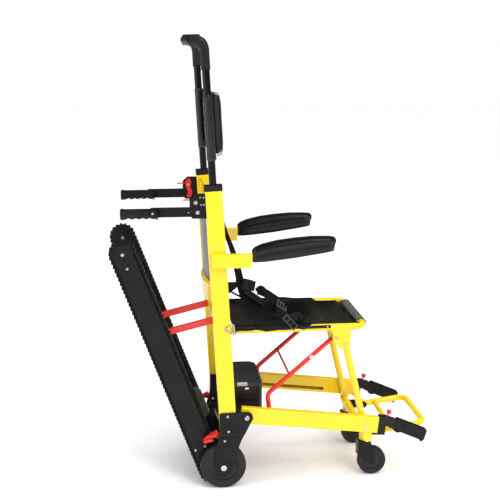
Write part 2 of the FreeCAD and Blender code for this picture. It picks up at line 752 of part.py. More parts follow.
def lug_places(radius):
    """Evenly spaced places round the loop, as (point, degrees that the lug is turned)."""
    straight = s.track_centres
    arc = math.pi * radius
    pitch = 2 * (straight + arc) / s.lug_count
    places = []
    for i in range(int(s.lug_count)):
        along = i * pitch
        if along < straight:
            places.append((on_track(along, radius), 0.0))
        elif along < straight + arc:
            turn = (along - straight) / radius
            places.append((on_track(straight + radius * math.sin(turn), radius * math.cos(turn)), turn))
        elif along < 2 * straight + arc:
            places.append((on_track(2 * straight + arc - along, -radius), math.pi))
        else:
            turn = (along - 2 * straight - arc) / radius
            places.append((on_track(-radius * math.sin(turn), -radius * math.cos(turn)), math.pi + turn))
    return places


def lug(place, y):
    point, turn = place
    return box(at_y(point, y), "2 * (lug_height - 1)", "track_width", 7, -s.track_tilt - math.degrees(turn))


def track_plates():
    """Black side plates of each track, the inner and the outer, with the tensioner slot at the top."""
    plate_radius = 36
    for side, name in SIDES:
        plates = []
        for y in (side * (TRACK_INNER - 1.5), side * (TRACK_OUTER + 1.5)):
            slot_up = s.track_centres
            slot = box(on_track(slot_up, 0, y), "axle_dia + 0.1", 20, 24, -s.track_tilt)
            ends = [cylinder(on_track(slot_up + i * 12, 0, y), "axle_dia / 2 + running", 20) for i in (-1, 1)]
            drive_bore = cylinder(on_track(0, 0, y), "axle_dia / 2 + 2 + running", 20)
            plates.append(cut(stadium(plate_radius, 3, y), fuse(slot, *ends), drive_bore))
        place_part(f"track_plates_{name}", group(*plates))


def track_cross_bars():
    """Bars that join the two tracks."""
    length = 2 * (TRACK_INNER - 3)
    bars = [cylinder(on_track(up, ahead), 10, length) for up, ahead in ((110, -33.5), (300, -28), (600, -14))]
    place_part("track_cross_bars", group(*bars))


def track_fasteners():
    """Idler axles, support rollers' axles and the bolts seen on the outer plates."""
    pieces = []
    outer = TRACK_OUTER + 3
    inner = TRACK_INNER - 3
    for side, name in SIDES:
        idler_axle = cylinder(on_track(s.track_centres, 0, side * s.track_out), PIN, outer - inner)
        pieces.append(idler_axle)
        heads = ((787, -3), (96, -26), (96, 10), (44, 26), (30, 14))
        for up, ahead in heads:
            point = on_track(up, ahead)
            pieces.append(cylinder(at_y(point, side * (outer + 0.8)), 4.5, 1.6))
    place_part("track_bolts", group(*pieces))


def track_pulleys():
    """Idlers at the top, and the drive shaft with its two pulleys at the bottom."""
    width = s.track_width - 6
    idlers = []
    for side, name in SIDES:
        y = side * s.track_out
        pulley = ring(on_track(s.track_centres, 0, y), "belt_inner - 0.4", PIN_BORE, width)
        idlers.append(pulley)
    place_part("idler_pulleys", group(*idlers))
    pulleys = [cylinder(on_track(0, 0, side * s.track_out), "belt_inner - 0.4", width) for side, name in SIDES]
    shaft = cylinder(DRIVE, "axle_dia / 2 + 2", 2 * (s.wheel_out - s.wheel_width / 2 - 3))
    place_part("drive_shaft", fuse(shaft, *pulleys))


def drive_unit():
    """Motor and gearbox carried between the tracks. The gearbox turns the drive shaft."""
    y = -62
    corners = ((-18, -22), (-18, 20), (20, 34), (46, 44), (62, 83), (160, 83), (160, 8), (60, -26))
    gearbox = pad([xz(on_track(up, ahead)) for up, ahead in corners], 76, y)
    bore = cylinder(at_y(DRIVE, y), "axle_dia / 2 + 2 + running", 100)
    place_part("drive_gearbox", cut(rounded(gearbox, 5, runs_along(Y_AXIS)), bore))
    motor = cylinder(on_track(208, 28, y), 36, 96, TRACK_UP)
    cap = cylinder(on_track(260, 28, y), 30, 8, TRACK_UP)
    place_part("drive_motor", fuse(rounded(motor, 4, is_circle), cap))


def track_links():
    """Flat red links that hold the tracks off the posts. Their rear studs run free of the tracks."""
    links = []
    rear = on_track(LINK_TRACK_UP, LINK_TRACK_AHEAD)
    run = LINK_PIVOT - rear
    climb = math.degrees(math.atan2(run.z, run.x))
    for side, name in SIDES:
        y = side * LINK_OUT
        bar = box((at_y(rear, y) + at_y(LINK_PIVOT, y)) * 0.5, run.Length, 14, 22, -climb)
        eyes = [cylinder(at_y(LINK_PIVOT, y), 12, 15), cylinder(at_y(rear, y), 11.6, 15)]
        stud = cylinder(at_y(rear, side * (LINK_OUT + 7)), 5, 4.5)
        bore = cylinder(at_y(LINK_PIVOT, y), SMALL_BORE, 60)
        links.append(cut(fuse(bar, *eyes, stud), bore))
    place_part("track_links", group(*links))


# ---------------------------------------------------------------- seat and folding linkage


def seat_frame():
    """One bent tube with an eye at each end, and a cross tube under the back of the seat."""
    y = s.seat_out
    z = s.seat_up
    loop = bent_tube([V(s.seat_pivot_ahead + 10, -y, z), V(s.seat_front, -y, z), V(s.seat_front, y, z),
                      V(s.seat_pivot_ahead + 10, y, z)], "tube_dia / 2", 42)
    rear = cylinder(V(70, 0, z - 4), 9, 2 * y)
    eyes = [cylinder(at_y(SEAT_PIVOT, side * y), 15, "tube_dia + 0.6") for side, name in SIDES]
    bores = [cylinder(at_y(SEAT_PIVOT, side * y), PIN_BORE, 60) for side, name in SIDES]
    place_part("seat_frame", cut(fuse(loop, rear, *eyes), *bores))


def seat_gussets():
    """Yellow plates under the front of the seat that carry the leg and stay pivots."""
    plates = []
    for side, name in SIDES:
        y = side * (s.seat_out + 10.5)
        blank = pad([(381, 558), (386, 515), (402, 493), (418, 482), (446, 479), (448, 558)], 4, y)
        seat_tube = cylinder(V(415, side * s.seat_out, s.seat_up), "tube_dia / 2", 120, X_AXIS)
        soft = cut(rounded(blank, 8, lower_corner), seat_tube)
        leg_pin = pin_to_side(GUSSET_PIVOT, side, PIN, s.leg_out - s.leg_dia / 2 - 1.5, 9)
        stay_pin = pin_to_side(STAY_TOP, side, SMALL_PIN, STAY_OUT - 10, 8)
        plates.append(fuse(soft, leg_pin, stay_pin))
    place_part("seat_gussets", group(*plates))


def lower_corner(edge):
    return runs_along(Y_AXIS)(edge) and edge.BoundBox.Center.z < 530


def pin_to_side(point, side, radius, inner, head_radius):
    """A pivot pin from the gusset inwards, with heads at both ends."""
    outer = s.seat_out + 12.5 + 3
    pin = cylinder(at_y(point, side * (inner + outer) / 2), radius, outer - inner)
    heads = [cylinder(at_y(point, side * (y)), head_radius, 3) for y in (inner - 1.5, outer - 1.5)]
    return fuse(pin, *heads)


def seat_sling():
    """The seat's fabric, a plain sheet between the tubes."""
    place_part("seat_sling", box(V(277, 0, s.seat_up - 14), 386, "2 * seat_out - tube_dia - 4", 8))


def seat_stays():
    """Red stays that prop the seat from the beams' slots, joined by a thin rod."""
    foot = on_beam(92, -13)
    knee = V(162, 0, 316)
    stays = []
    for side, name in SIDES:
        y = side * STAY_OUT
        bar = bent_tube([at_y(STAY_TOP, y), at_y(knee, y), at_y(foot, y)], 8, 26)
        eyes = [cylinder(at_y(STAY_TOP, y), 12, 16.4), cylinder(at_y(foot, y), 9, 16.4)]
        bore = cylinder(at_y(STAY_TOP, y), SMALL_BORE, 40)
        stud_inner = STAY_OUT + 5
        stud_outer = BEAM_INNER - 1
        stud = cylinder(at_y(foot, side * (stud_inner + stud_outer) / 2), 5, stud_outer - stud_inner)
        stays.append(cut(fuse(bar, *eyes, stud), bore))
    rod_point = STAY_TOP + (knee - STAY_TOP) * 0.67
    rod = cylinder(rod_point, 4, 2 * (STAY_OUT - 3))
    place_part("seat_stays", fuse(*stays, rod))


def front_legs():
    legs = []
    run = LEG_FOOT - GUSSET_PIVOT
    for side, name in SIDES:
        y = side * s.leg_out
        tube = cylinder((at_y(GUSSET_PIVOT, y) + at_y(LEG_FOOT, y)) * 0.5, "leg_dia / 2", run.Length, run)
        eyes = [cylinder(at_y(point, y), 15, "leg_dia + 0.4") for point in (GUSSET_PIVOT, LEG_FOOT)]
        bores = [cylinder(at_y(point, y), PIN_BORE, 60) for point in (GUSSET_PIVOT, LEG_FOOT)]
        legs.append(cut(fuse(tube, *eyes), *bores))
    place_part("front_legs", group(*legs))


def beam_blank(side):
    length = s.beam_tail + s.beam_nose
    middle = on_beam(s.beam_nose - length / 2, 0, side * s.beam_out)
    return box(middle, "beam_tail + beam_nose", "beam_width", "beam_depth", s.beam_slope)


def lower_beams():
    """Box-section beams, each with a slot in its inner wall for the stay's foot."""
    beams = []
    for side, name in SIDES:
        y = side * s.beam_out
        length = s.beam_tail + s.beam_nose
        middle = on_beam(s.beam_nose - length / 2, 0, y)
        inner = box(middle, "beam_tail + beam_nose + 4", "beam_width - 2 * post_wall",
                    "beam_depth - 2 * post_wall", s.beam_slope)
        slot_middle = on_beam(218, -13, side * BEAM_INNER)
        slot = box(slot_middle, 252, 12, 12, s.beam_slope)
        slot_ends = [cylinder(on_beam(218 + i * 126, -13, side * BEAM_INNER), 6, 12) for i in (-1, 1)]
        pin_bore = cylinder(at_y(BEAM_PIVOT, y), PIN_BORE, 60)
        leg_hole = cylinder(at_y(LEG_FOOT, y), PIN, 60)
        soft = rounded(beam_blank(side), 3, runs_along(BEAM_ALONG))
        beams.append(cut(soft, inner, fuse(slot, *slot_ends), pin_bore, leg_hole))
    place_part("lower_beams", group(*beams))


def beam_pins():
    """Pins through the beams that carry the front legs' feet."""
    pins = []
    for side, name in SIDES:
        inner = s.leg_out - s.leg_dia / 2 - 1.5
        pin = cylinder(at_y(LEG_FOOT, side * (inner + BEAM_OUTER) / 2), PIN, BEAM_OUTER - inner)
        heads = [cylinder(at_y(LEG_FOOT, side * y), 7, 2) for y in (inner - 1, BEAM_OUTER + 1)]
        pins.append(fuse(pin, *heads))
    place_part("beam_pins", group(*pins))


# ---------------------------------------------------------------- front end


CROSSBAR = V(s.caster_ahead, 0, 160)
STEM_RADIUS = 8


def caster_crossbar():
    """Yellow cross tube under the beams with the two caster sockets."""
    tube = cylinder(CROSSBAR, 15, 2 * BEAM_OUTER - 4)
    saddles = []
    sockets = []
    bores = []
    for side, name in SIDES:
        block = box(V(CROSSBAR.x, side * s.beam_out, 172), 30, "beam_width - 4", 30)
        saddles.append(cut(block, beam_blank(side)))
        sockets.append(cylinder(V(CROSSBAR.x, side * s.caster_out, 148), 16, 36, Z_AXIS))
        bores.append(cylinder(V(CROSSBAR.x, side * s.caster_out, 142), STEM_RADIUS + s.running, 60, Z_AXIS))
    place_part("caster_crossbar", cut(fuse(tube, *saddles, *sockets), *bores))


def casters():
    """Swivel forks with a flat top, a rear shield and two legs, and their wheels."""
    wheel_middle = V(s.caster_ahead + s.caster_trail, 0, s.caster_dia / 2)
    leg_gap = s.caster_width + 3
    for side, name in SIDES:
        y = side * s.caster_out
        top = rounded(box(V(CROSSBAR.x, y, 122.5), 46, leg_gap + 8, 13), 5, runs_along(Z_AXIS))
        shield = box(V(CROSSBAR.x - 21, y, 98), 4, leg_gap + 8, 48)
        side_shape = [(488, 128), (534, 128), (536, 112), (552, 60), (548, 42), (534, 40), (526, 50), (488, 78)]
        legs = [rounded(pad(side_shape, 4, y + i * (leg_gap / 2 + 2)), 4, runs_along(Y_AXIS)) for i in (-1, 1)]
        stem = cylinder(V(CROSSBAR.x, y, 142), STEM_RADIUS, 56, Z_AXIS)
        axle = cylinder(at_y(wheel_middle, y), 4, leg_gap + 8)
        room = cylinder(at_y(wheel_middle, y), "caster_dia / 2 + 2", "caster_width + 3")
        body = fuse(cut(fuse(top, shield, *legs), room), stem, axle)
        place_part(f"caster_fork_{name}", body)
        tread = rounded(cylinder(at_y(wheel_middle, y), "caster_dia / 2", "caster_width"), 6, is_circle)
        disc = ring(at_y(wheel_middle, y), 30, 4 + s.running, "caster_width - 6")
        place_part(f"caster_wheel_{name}", group(cut(tread, cylinder(at_y(wheel_middle, y), 30, 60)), disc))


GRIP_SLOPE = math.radians(s.grip_slope)
GRIP_ALONG = V(math.cos(GRIP_SLOPE), 0, -math.sin(GRIP_SLOPE))
GRIP_UP = V(math.sin(GRIP_SLOPE), 0, math.cos(GRIP_SLOPE))
GRIP_ROOT = V(600, 0, 211)
GRIP_ROD = 9


def on_grip(along, up=0.0, y=0.0):
    """A point along a front grip from its neck and up from its middle line."""
    return GRIP_ROOT + GRIP_ALONG * along + GRIP_UP * up + V(0, y, 0)


def handle_necks():
    """Black castings in the beam noses that carry the front grips, and the footrest hinge plates."""
    pieces = []
    for side, name in SIDES:
        y = side * s.beam_out
        shape = [xz(on_beam(s.beam_nose, -33)), xz(on_beam(s.beam_nose, 33)), xz(on_beam(s.beam_nose + 27, 33)),
                 xz(on_grip(8, 15)), xz(on_grip(8, -20)), xz(on_beam(s.beam_nose + 27, 2)),
                 xz(on_beam(s.beam_nose + 27, -33))]
        neck = rounded(pad(shape, 27, y), 2.5, runs_along(Y_AXIS))
        rod = cylinder(on_grip(50, 0, y), GRIP_ROD, 100, GRIP_ALONG)
        knob_bore = cylinder(on_grip(-26, 12, y), 3 + s.running, 24, GRIP_UP)
        pieces.append(cut(fuse(neck, rod), knob_bore))
    place_part("handle_necks", group(*pieces))


def front_grips():
    """Ribbed grips that slide out on the necks' rods."""
    for side, name in SIDES:
        y = side * s.beam_out
        shape = [xz(on_grip(along, up)) for along, up in
                 ((10, 20.5), (127, 20.5), (131, -16), (124, -27), (112, -21), (40, -20), (28, -27), (14, -24),
                  (9, -14))]
        body = rounded(pad(shape, 27, y), 3, runs_along(Y_AXIS))
        bore = cylinder(on_grip(50, 0, y), GRIP_ROD + s.running, 106, GRIP_ALONG)
        ribs = [box(on_grip(20 + i * 7.5, 20.5, y), 3, 21, 2.4, s.grip_slope) for i in range(14)]
        place_part(f"front_grip_{name}", fuse(cut(body, bore), *ribs))


def release_knobs():
    for side, name in SIDES:
        y = side * s.beam_out
        stem = cylinder(on_grip(-26, 15, y), 3, 22, GRIP_UP)
        knob = rounded(cylinder(on_grip(-26, 31, y), 8.5, 13, GRIP_UP), 4, is_circle)
        place_part(f"release_knob_{name}", fuse(stem, knob))


HINGE = V(572, 0, 158)
FOOTREST_RISE = math.radians(8)


def footrest():
    """A bent tube with an inner cross tube, hinged at its two ends."""
    y = s.footrest_out
    front = HINGE + V(s.footrest_reach, 0, s.footrest_reach * math.tan(FOOTREST_RISE))
    loop = bent_tube([at_y(HINGE, -y), at_y(front, -y), at_y(front, y), at_y(HINGE, y)], "footrest_dia / 2", 36)
    inner = cylinder(HINGE + (front - HINGE) * 0.27, 9.5, 2 * y)
    eyes = [cylinder(at_y(HINGE, side * y), 13, "footrest_dia + 0.4") for side, name in SIDES]
    bores = [cylinder(at_y(HINGE, side * y), SMALL_BORE, 60) for side, name in SIDES]
    place_part("footrest", cut(fuse(loop, inner, *eyes), *bores))


def footrest_hinges():
    """Black hinge plates welded to the cross tube, two for each footrest arm."""
    pieces = []
    for side, name in SIDES:
        y = side * s.footrest_out
        for offset in (-14.5, 14.5):
            shape = [(CROSSBAR.x + 8, 150), (CROSSBAR.x + 8, 170), (576, 170), (584, 164), (584, 152),
                     (576, 146)]
            plate = rounded(pad(shape, 5, y + offset), 4, nose_corner)
            socket = cylinder(V(CROSSBAR.x, side * s.caster_out, 148), 16, 36, Z_AXIS)
            pieces.append(cut(plate, cylinder(CROSSBAR, 15, 2 * BEAM_OUTER), socket))
        pieces.append(cylinder(at_y(HINGE, y), SMALL_PIN, 24))
        pieces.append(cylinder(at_y(HINGE, y + 19), 8, 4))
        pieces.append(cylinder(at_y(HINGE, y - 19), 8, 4))
    place_part("footrest_hinges", group(*pieces))


def nose_corner(edge):
    return runs_along(Y_AXIS)(edge) and edge.BoundBox.Center.x > 570


def brake_pedals():
    """Red foot pedals over the rear wheels."""
    for side, name in SIDES:
        y = side * s.wheel_out
        arm = pad([(-8, 178), (4, 180), (2, 196), (-30, 203), (-62, 184), (-66, 174), (-58, 168),
                   (-34, 184)], 12, y)
        upper = rounded(box(V(-33, y, 195), 30, 28, 8, -28), 3.5, runs_along(Y_AXIS))
        lower = rounded(box(V(-52, y, 175), 34, 30, 9, -12), 4, runs_along(Y_AXIS))
        eye = cylinder(at_y(PEDAL_PIVOT, side * (s.wheel_out + 1.5)), 10, 16)
        bore = cylinder(at_y(PEDAL_PIVOT, y), SMALL_BORE, 60)
        place_part(f"brake_pedal_{name}", cut(fuse(arm, upper, lower, eye), bore))


# ---------------------------------------------------------------- harness


def webbing(points, y, width=38.0, thickness=3.0):
    """A flat strap that follows points in a vertical plane."""
    path = [V(x, 0, z) for x, z in points]
    upper = []
    lower = []
    for i, point in enumerate(path):
        ahead = (path[min(i + 1, len(path) - 1)] - path[max(i - 1, 0)]).normalize()
        side_step = V(-ahead.z, 0, ahead.x) * (thickness / 2)
        upper.append(xz(point + side_step))
        lower.append(xz(point - side_step))
    return pad(upper + lower[::-1], width, y)


def harness():
    """Shoulder straps that hang in front of the backrest and meet the lap strap on the seat."""
    pieces = []
    for side, name in SIDES:
        y = side * 128
        pieces.append(webbing([(-20, 955), (14, 930), (24, 893), (52, 820), (48, 771), (84, 690), (136, 640),
                               (200, 592), (262, 566)], y))
        buckle = box(V(96, y, 702), 38, 46, 14, 40)
        pieces.append(rounded(buckle, 4, runs_along(Y_AXIS)))
    place_part("harness", group(*pieces))


# ---------------------------------------------------------------- build, check and export


def build():
    back_posts()
    post_collars()
    top_cross_bracket()
    frame_cross_tubes()
    side_plates()
    wheel_axles()
    rear_wheels()
    battery()
    backrest()
    arm_brackets()
    armrests()
    frame_bolts()
    telescopic_handle()
    headrest()
    handle_brackets()
    rear_handles()
    latch_levers()
    track_belts()
    track_plates()
    track_cross_bars()
    track_fasteners()
    track_pulleys()
    drive_unit()
    track_links()
    seat_frame()
    seat_gussets()
    seat_sling()
    seat_stays()
    front_legs()
    lower_beams()
    beam_pins()
    caster_crossbar()
    casters()
    handle_necks()
    front_grips()
    release_knobs()
    footrest()
    footrest_hinges()
    brake_pedals()
    harness()


def check():
    """Stop if any object failed or any sub-part isn't one valid set of solids."""
    for obj in doc.Objects:
        if "Invalid" in obj.State or "Error" in obj.State:
            raise RuntimeError(f"{obj.Name} ({obj.Label}) failed: {obj.State}")
    for part in PARTS:
        if part.Shape.isNull() or not part.Shape.isValid() or not part.Shape.Solids:
            raise RuntimeError(f"{part.Label} has no valid solid")


build()
doc.recompute()
check()
os.makedirs("parts", exist_ok=True)
for part in PARTS:
    part.Shape.exportStep(f"parts/{part.Label}.step")
print(len(PARTS), "sub-parts written")
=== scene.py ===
import json
import math

import bmesh
import bpy
from mathutils import Matrix, Vector, noise

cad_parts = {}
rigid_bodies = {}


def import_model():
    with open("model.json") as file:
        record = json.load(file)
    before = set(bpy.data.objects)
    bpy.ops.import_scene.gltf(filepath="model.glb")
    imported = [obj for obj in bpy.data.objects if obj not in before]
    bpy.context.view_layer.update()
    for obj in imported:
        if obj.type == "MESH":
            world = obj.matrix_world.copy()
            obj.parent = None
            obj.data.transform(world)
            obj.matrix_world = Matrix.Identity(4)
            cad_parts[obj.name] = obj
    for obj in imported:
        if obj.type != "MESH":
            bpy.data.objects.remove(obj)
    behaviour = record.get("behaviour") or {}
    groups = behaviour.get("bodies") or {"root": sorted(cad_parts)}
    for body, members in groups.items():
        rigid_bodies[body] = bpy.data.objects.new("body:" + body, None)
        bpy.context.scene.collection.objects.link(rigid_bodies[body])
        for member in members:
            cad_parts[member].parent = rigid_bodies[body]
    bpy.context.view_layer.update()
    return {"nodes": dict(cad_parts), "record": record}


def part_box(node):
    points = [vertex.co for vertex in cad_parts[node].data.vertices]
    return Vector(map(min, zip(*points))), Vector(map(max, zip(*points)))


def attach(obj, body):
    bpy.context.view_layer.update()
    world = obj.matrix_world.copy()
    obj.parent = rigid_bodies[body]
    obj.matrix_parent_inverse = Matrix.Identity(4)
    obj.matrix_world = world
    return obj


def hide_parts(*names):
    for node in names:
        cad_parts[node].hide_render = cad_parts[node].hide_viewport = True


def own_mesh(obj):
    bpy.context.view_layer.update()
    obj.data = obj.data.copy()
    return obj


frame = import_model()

# Frame: metres, +X the way the sitter faces, +Y the sitter's left, +Z up, the floor at Z = 0.
# The layout repeats the driving sizes of the CAD model and measures the rest on its nodes.

RIGHT = -1
LEFT = 1
SIDES = ((RIGHT, "right"), (LEFT, "left"))
X = Vector((1, 0, 0))
Y = Vector((0, 1, 0))
Z = Vector((0, 0, 1))


def low(node):
    return Vector(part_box(node)[0])


def high(node):
    return Vector(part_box(node)[1])


def middle(node):
    return (low(node) + high(node)) / 2


REAR_AXLE = middle("rear_wheel_right")
POST_LEAN = math.radians(3.15)
POST_UP = Vector((-math.sin(POST_LEAN), 0, math.cos(POST_LEAN)))
POST_AHEAD = Vector((math.cos(POST_LEAN), 0, math.sin(POST_LEAN)))
POST_OUT = 0.2135
TUBE_RADIUS = 0.0125
POST_LINE = Vector((high("handle_tubes").x - TUBE_RADIUS, 0, low("handle_tubes").z))


def on_post(z, ahead=0.0, y=0.0):
    """A point at the height z on a post's middle line, moved ahead of it and to y."""
    up = (z - POST_LINE.z) / math.cos(POST_LEAN)
    return POST_LINE + POST_UP * up + POST_AHEAD * ahead + Y * y


def layout(x, z, y):
    """A point measured from the rear axle along X and from the floor along Z."""
    return Vector((REAR_AXLE.x + x, y, z))


def trail(*places):
    """The layout points of some (x, z, y) places."""
    return [layout(*place) for place in places]


# ---------------- materials


class Nodes:
    """A small helper that builds one material's node tree."""

    def __init__(self, name):
        self.material = bpy.data.materials.new(name)
        self.material.use_nodes = True
        self.tree = self.material.node_tree
        self.shader = self.tree.nodes["Principled BSDF"]
        self.place = self.add("ShaderNodeTexCoord").outputs["Object"]

    def add(self, kind, inputs=(), **settings):
        """A new node. inputs maps a socket's name or number to a value or to the output that feeds it."""
        node = self.tree.nodes.new(kind)
        for key, value in settings.items():
            setattr(node, key, value)
        for key, value in dict(inputs).items():
            if isinstance(value, bpy.types.NodeSocket):
                self.tree.links.new(value, node.inputs[key])
            else:
                node.inputs[key].default_value = value
        return node

    def noise(self, scale, detail=4.0, roughness=0.55, place=None):
        inputs = {"Scale": scale, "Detail": detail, "Roughness": roughness, "Vector": place or self.place}
        return self.add("ShaderNodeTexNoise", inputs).outputs["Fac"]

    def cells(self, scale):
        return self.add("ShaderNodeTexVoronoi", {"Scale": scale, "Vector": self.place}).outputs["Distance"]

    def wave(self, scale, direction, place):
        inputs = {"Scale": scale, "Vector": place}
        return self.add("ShaderNodeTexWave", inputs, bands_direction=direction).outputs["Fac"]

    def stretched(self, *scale):
        return self.add("ShaderNodeMapping", {"Scale": scale, "Vector": self.place}).outputs["Vector"]

    def ramp(self, value, low_at, high_at, low_colour, high_colour):
        node = self.add("ShaderNodeValToRGB", {"Fac": value})
        first, second = node.color_ramp.elements
        first.position = low_at
        first.color = (*low_colour, 1)
        second.position = high_at
        second.color = (*high_colour, 1)
        return node.outputs["Color"]

    def span(self, value, out_low, out_high, in_low=0.0, in_high=1.0):
        inputs = {"Value": value, "From Min": in_low, "From Max": in_high}
        inputs |= {"To Min": out_low, "To Max": out_high}
        return self.add("ShaderNodeMapRange", inputs).outputs["Result"]

    def worn(self, patches, gloss, smoother, rougher):
        """A roughness round the given one, patchy with a noise."""
        return self.span(patches, gloss - smoother, gloss + rougher, 0.3, 0.75)

    def maths(self, operation, *values):
        return self.add("ShaderNodeMath", enumerate(values), operation=operation).outputs[0]

    def blend(self, factor, first, second):
        return self.add("ShaderNodeMix", {"Factor": factor, 6: first, 7: second}, data_type="RGBA").outputs[2]

    def bump(self, height, strength, distance, normal=None):
        inputs = {"Strength": strength, "Distance": distance, "Height": height}
        if normal is not None:
            inputs["Normal"] = normal
        return self.add("ShaderNodeBump", inputs).outputs["Normal"]

    def soft_edges(self, radius):
        """The normal, with sharp edges rounded."""
        return self.add("ShaderNodeBevel", {"Radius": radius}, samples=4).outputs["Normal"]

    def rubbed(self, soft, sharp_below, patches, body, edge_colour):
        """The body's colour, with the edge colour in patches where the soft normal turns away."""
        face = self.add("ShaderNodeNewGeometry").outputs["Normal"]
        flat = self.add("ShaderNodeVectorMath", {0: soft, 1: face}, operation="DOT_PRODUCT").outputs["Value"]
        sharp = self.span(flat, 1.0, 0.0, sharp_below, 0.99)
        return self.blend(self.maths("MULTIPLY", sharp, patches), body, (*edge_colour, 1))

    def finish(self, colour, roughness, normal=None, **fixed):
        for name, source in (("Base Color", colour), ("Roughness", roughness), ("Normal", normal)):
            if source is not None:
                self.tree.links.new(source, self.shader.inputs[name])
        for name, value in fixed.items():
            self.shader.inputs[name.replace("_", " ")].default_value = value
        return self.material


def painted(name, light, dark, gloss, edge_colour):
    """Glossy powder coat: slight orange peel, soft mottling and lighter, rubbed edges."""
    n = Nodes(name)
    body = n.ramp(n.noise(7.0, 3.0), 0.35, 0.7, dark, light)
    soft = n.soft_edges(0.0012)
    patches = n.span(n.noise(42.0), 0.0, 0.55, 0.42, 0.68)
    colour = n.rubbed(soft, 0.72, patches, body, edge_colour)
    roughness = n.worn(n.noise(26.0, 6.0, 0.7), gloss, 0.05, 0.1)
    normal = n.bump(n.noise(420.0, 1.0), 0.05, 0.0006, soft)
    return n.finish(colour, roughness, normal, Coat_Weight=0.2, Coat_Roughness=0.1)


def powder_black(name, level, gloss):
    """Black powder coat with a fine grain and dusty mottling."""
    n = Nodes(name)
    body = n.ramp(n.noise(11.0, 5.0), 0.3, 0.75, (level * 0.7,) * 3, (level * 1.7,) * 3)
    soft = n.soft_edges(0.001)
    patches = n.span(n.noise(60.0), 0.0, 0.5, 0.45, 0.7)
    colour = n.rubbed(soft, 0.75, patches, body, (level * 1.5 + 0.03,) * 3)
    roughness = n.worn(n.noise(33.0, 6.0), gloss, 0.08, 0.12)
    normal = n.bump(n.cells(900.0), 0.12, 0.0004, soft)
    return n.finish(colour, roughness, normal, Specular_IOR_Level=0.24)


def moulded(name, colour_low, colour_high, gloss, coat=0.0):
    """Moulded plastic with a fine spark-eroded grain."""
    n = Nodes(name)
    body = n.ramp(n.noise(9.0, 5.0), 0.3, 0.75, colour_low, colour_high)
    roughness = n.worn(n.noise(30.0, 6.0), gloss, 0.06, 0.1)
    normal = n.bump(n.noise(700.0, 2.0), 0.12, 0.0004, n.soft_edges(0.0014))
    return n.finish(body, roughness, normal, Coat_Weight=coat, Coat_Roughness=0.15, Specular_IOR_Level=0.26)


def rubber(name, level, gloss, grain=320.0):
    """Matt rubber with lighter, dusty mottling."""
    n = Nodes(name)
    dust = n.noise(14.0, 8.0, 0.65)
    body = n.ramp(dust, 0.38, 0.8, (level, level, level), (level * 2.2, level * 2.15, level * 2.05))
    roughness = n.worn(n.noise(40.0, 6.0), gloss, 0.08, 0.14)
    return n.finish(body, roughness, n.bump(n.noise(grain, 4.0), 0.2, 0.0006), Specular_IOR_Level=0.2)


def metal(name, level, gloss=0.28):
    """Zinc-plated steel with fine scratches."""
    n = Nodes(name)
    fine = n.noise(80.0, 8.0, 0.7, n.stretched(1.0, 8.0, 1.0))
    body = n.ramp(fine, 0.3, 0.75, (level * 0.75,) * 3, (level, level, level * 1.02))
    normal = n.bump(n.noise(500.0, 3.0), 0.08, 0.0003)
    return n.finish(body, n.worn(fine, gloss, 0.08, 0.14), normal, Metallic=1.0)


def leather(name, level, gloss, crease, grain_depth=0.1, shine=0.3):
    """Coated upholstery fabric: pebbled grain, soft creases and a slight sheen."""
    n = Nodes(name)
    light = (level * 1.45, level * 1.42, level * 1.42)
    body = n.ramp(n.noise(12.0, 6.0), 0.3, 0.75, (level * 0.75,) * 3, light)
    folds = n.noise(24.0, 5.0, 0.6, n.stretched(1.0, 0.35, 1.0))
    normal = n.bump(n.cells(650.0), grain_depth, 0.0004, n.bump(folds, crease, 0.003))
    roughness = n.worn(n.noise(50.0, 5.0), gloss, 0.07, 0.14)
    return n.finish(body, roughness, normal, Sheen_Weight=0.03, Sheen_Roughness=0.4, Specular_IOR_Level=shine)


def woven(name, level, thread=0.0012):
    """Webbing: ribs across the strap and a twill along it, in the strap's own UV metres."""
    n = Nodes(name)
    own = n.add("ShaderNodeTexCoord").outputs["UV"]
    along = n.wave(0.5 / thread, "Y", own)
    across = n.wave(0.5 / (thread * 1.6), "X", own)
    weave = n.maths("MULTIPLY", along, across)
    tint = n.maths("ADD", n.maths("MULTIPLY", weave, 0.55), n.maths("MULTIPLY", n.noise(90.0, 6.0), 0.45))
    body = n.ramp(tint, 0.2, 0.8, (level * 0.6,) * 3, (level * 2.1, level * 2.05, level * 2.1))
    return n.finish(body, n.span(weave, 0.62, 0.85), n.bump(weave, 0.55, 0.0005), Sheen_Weight=0.06,
                    Sheen_Roughness=0.4, Specular_IOR_Level=0.2)


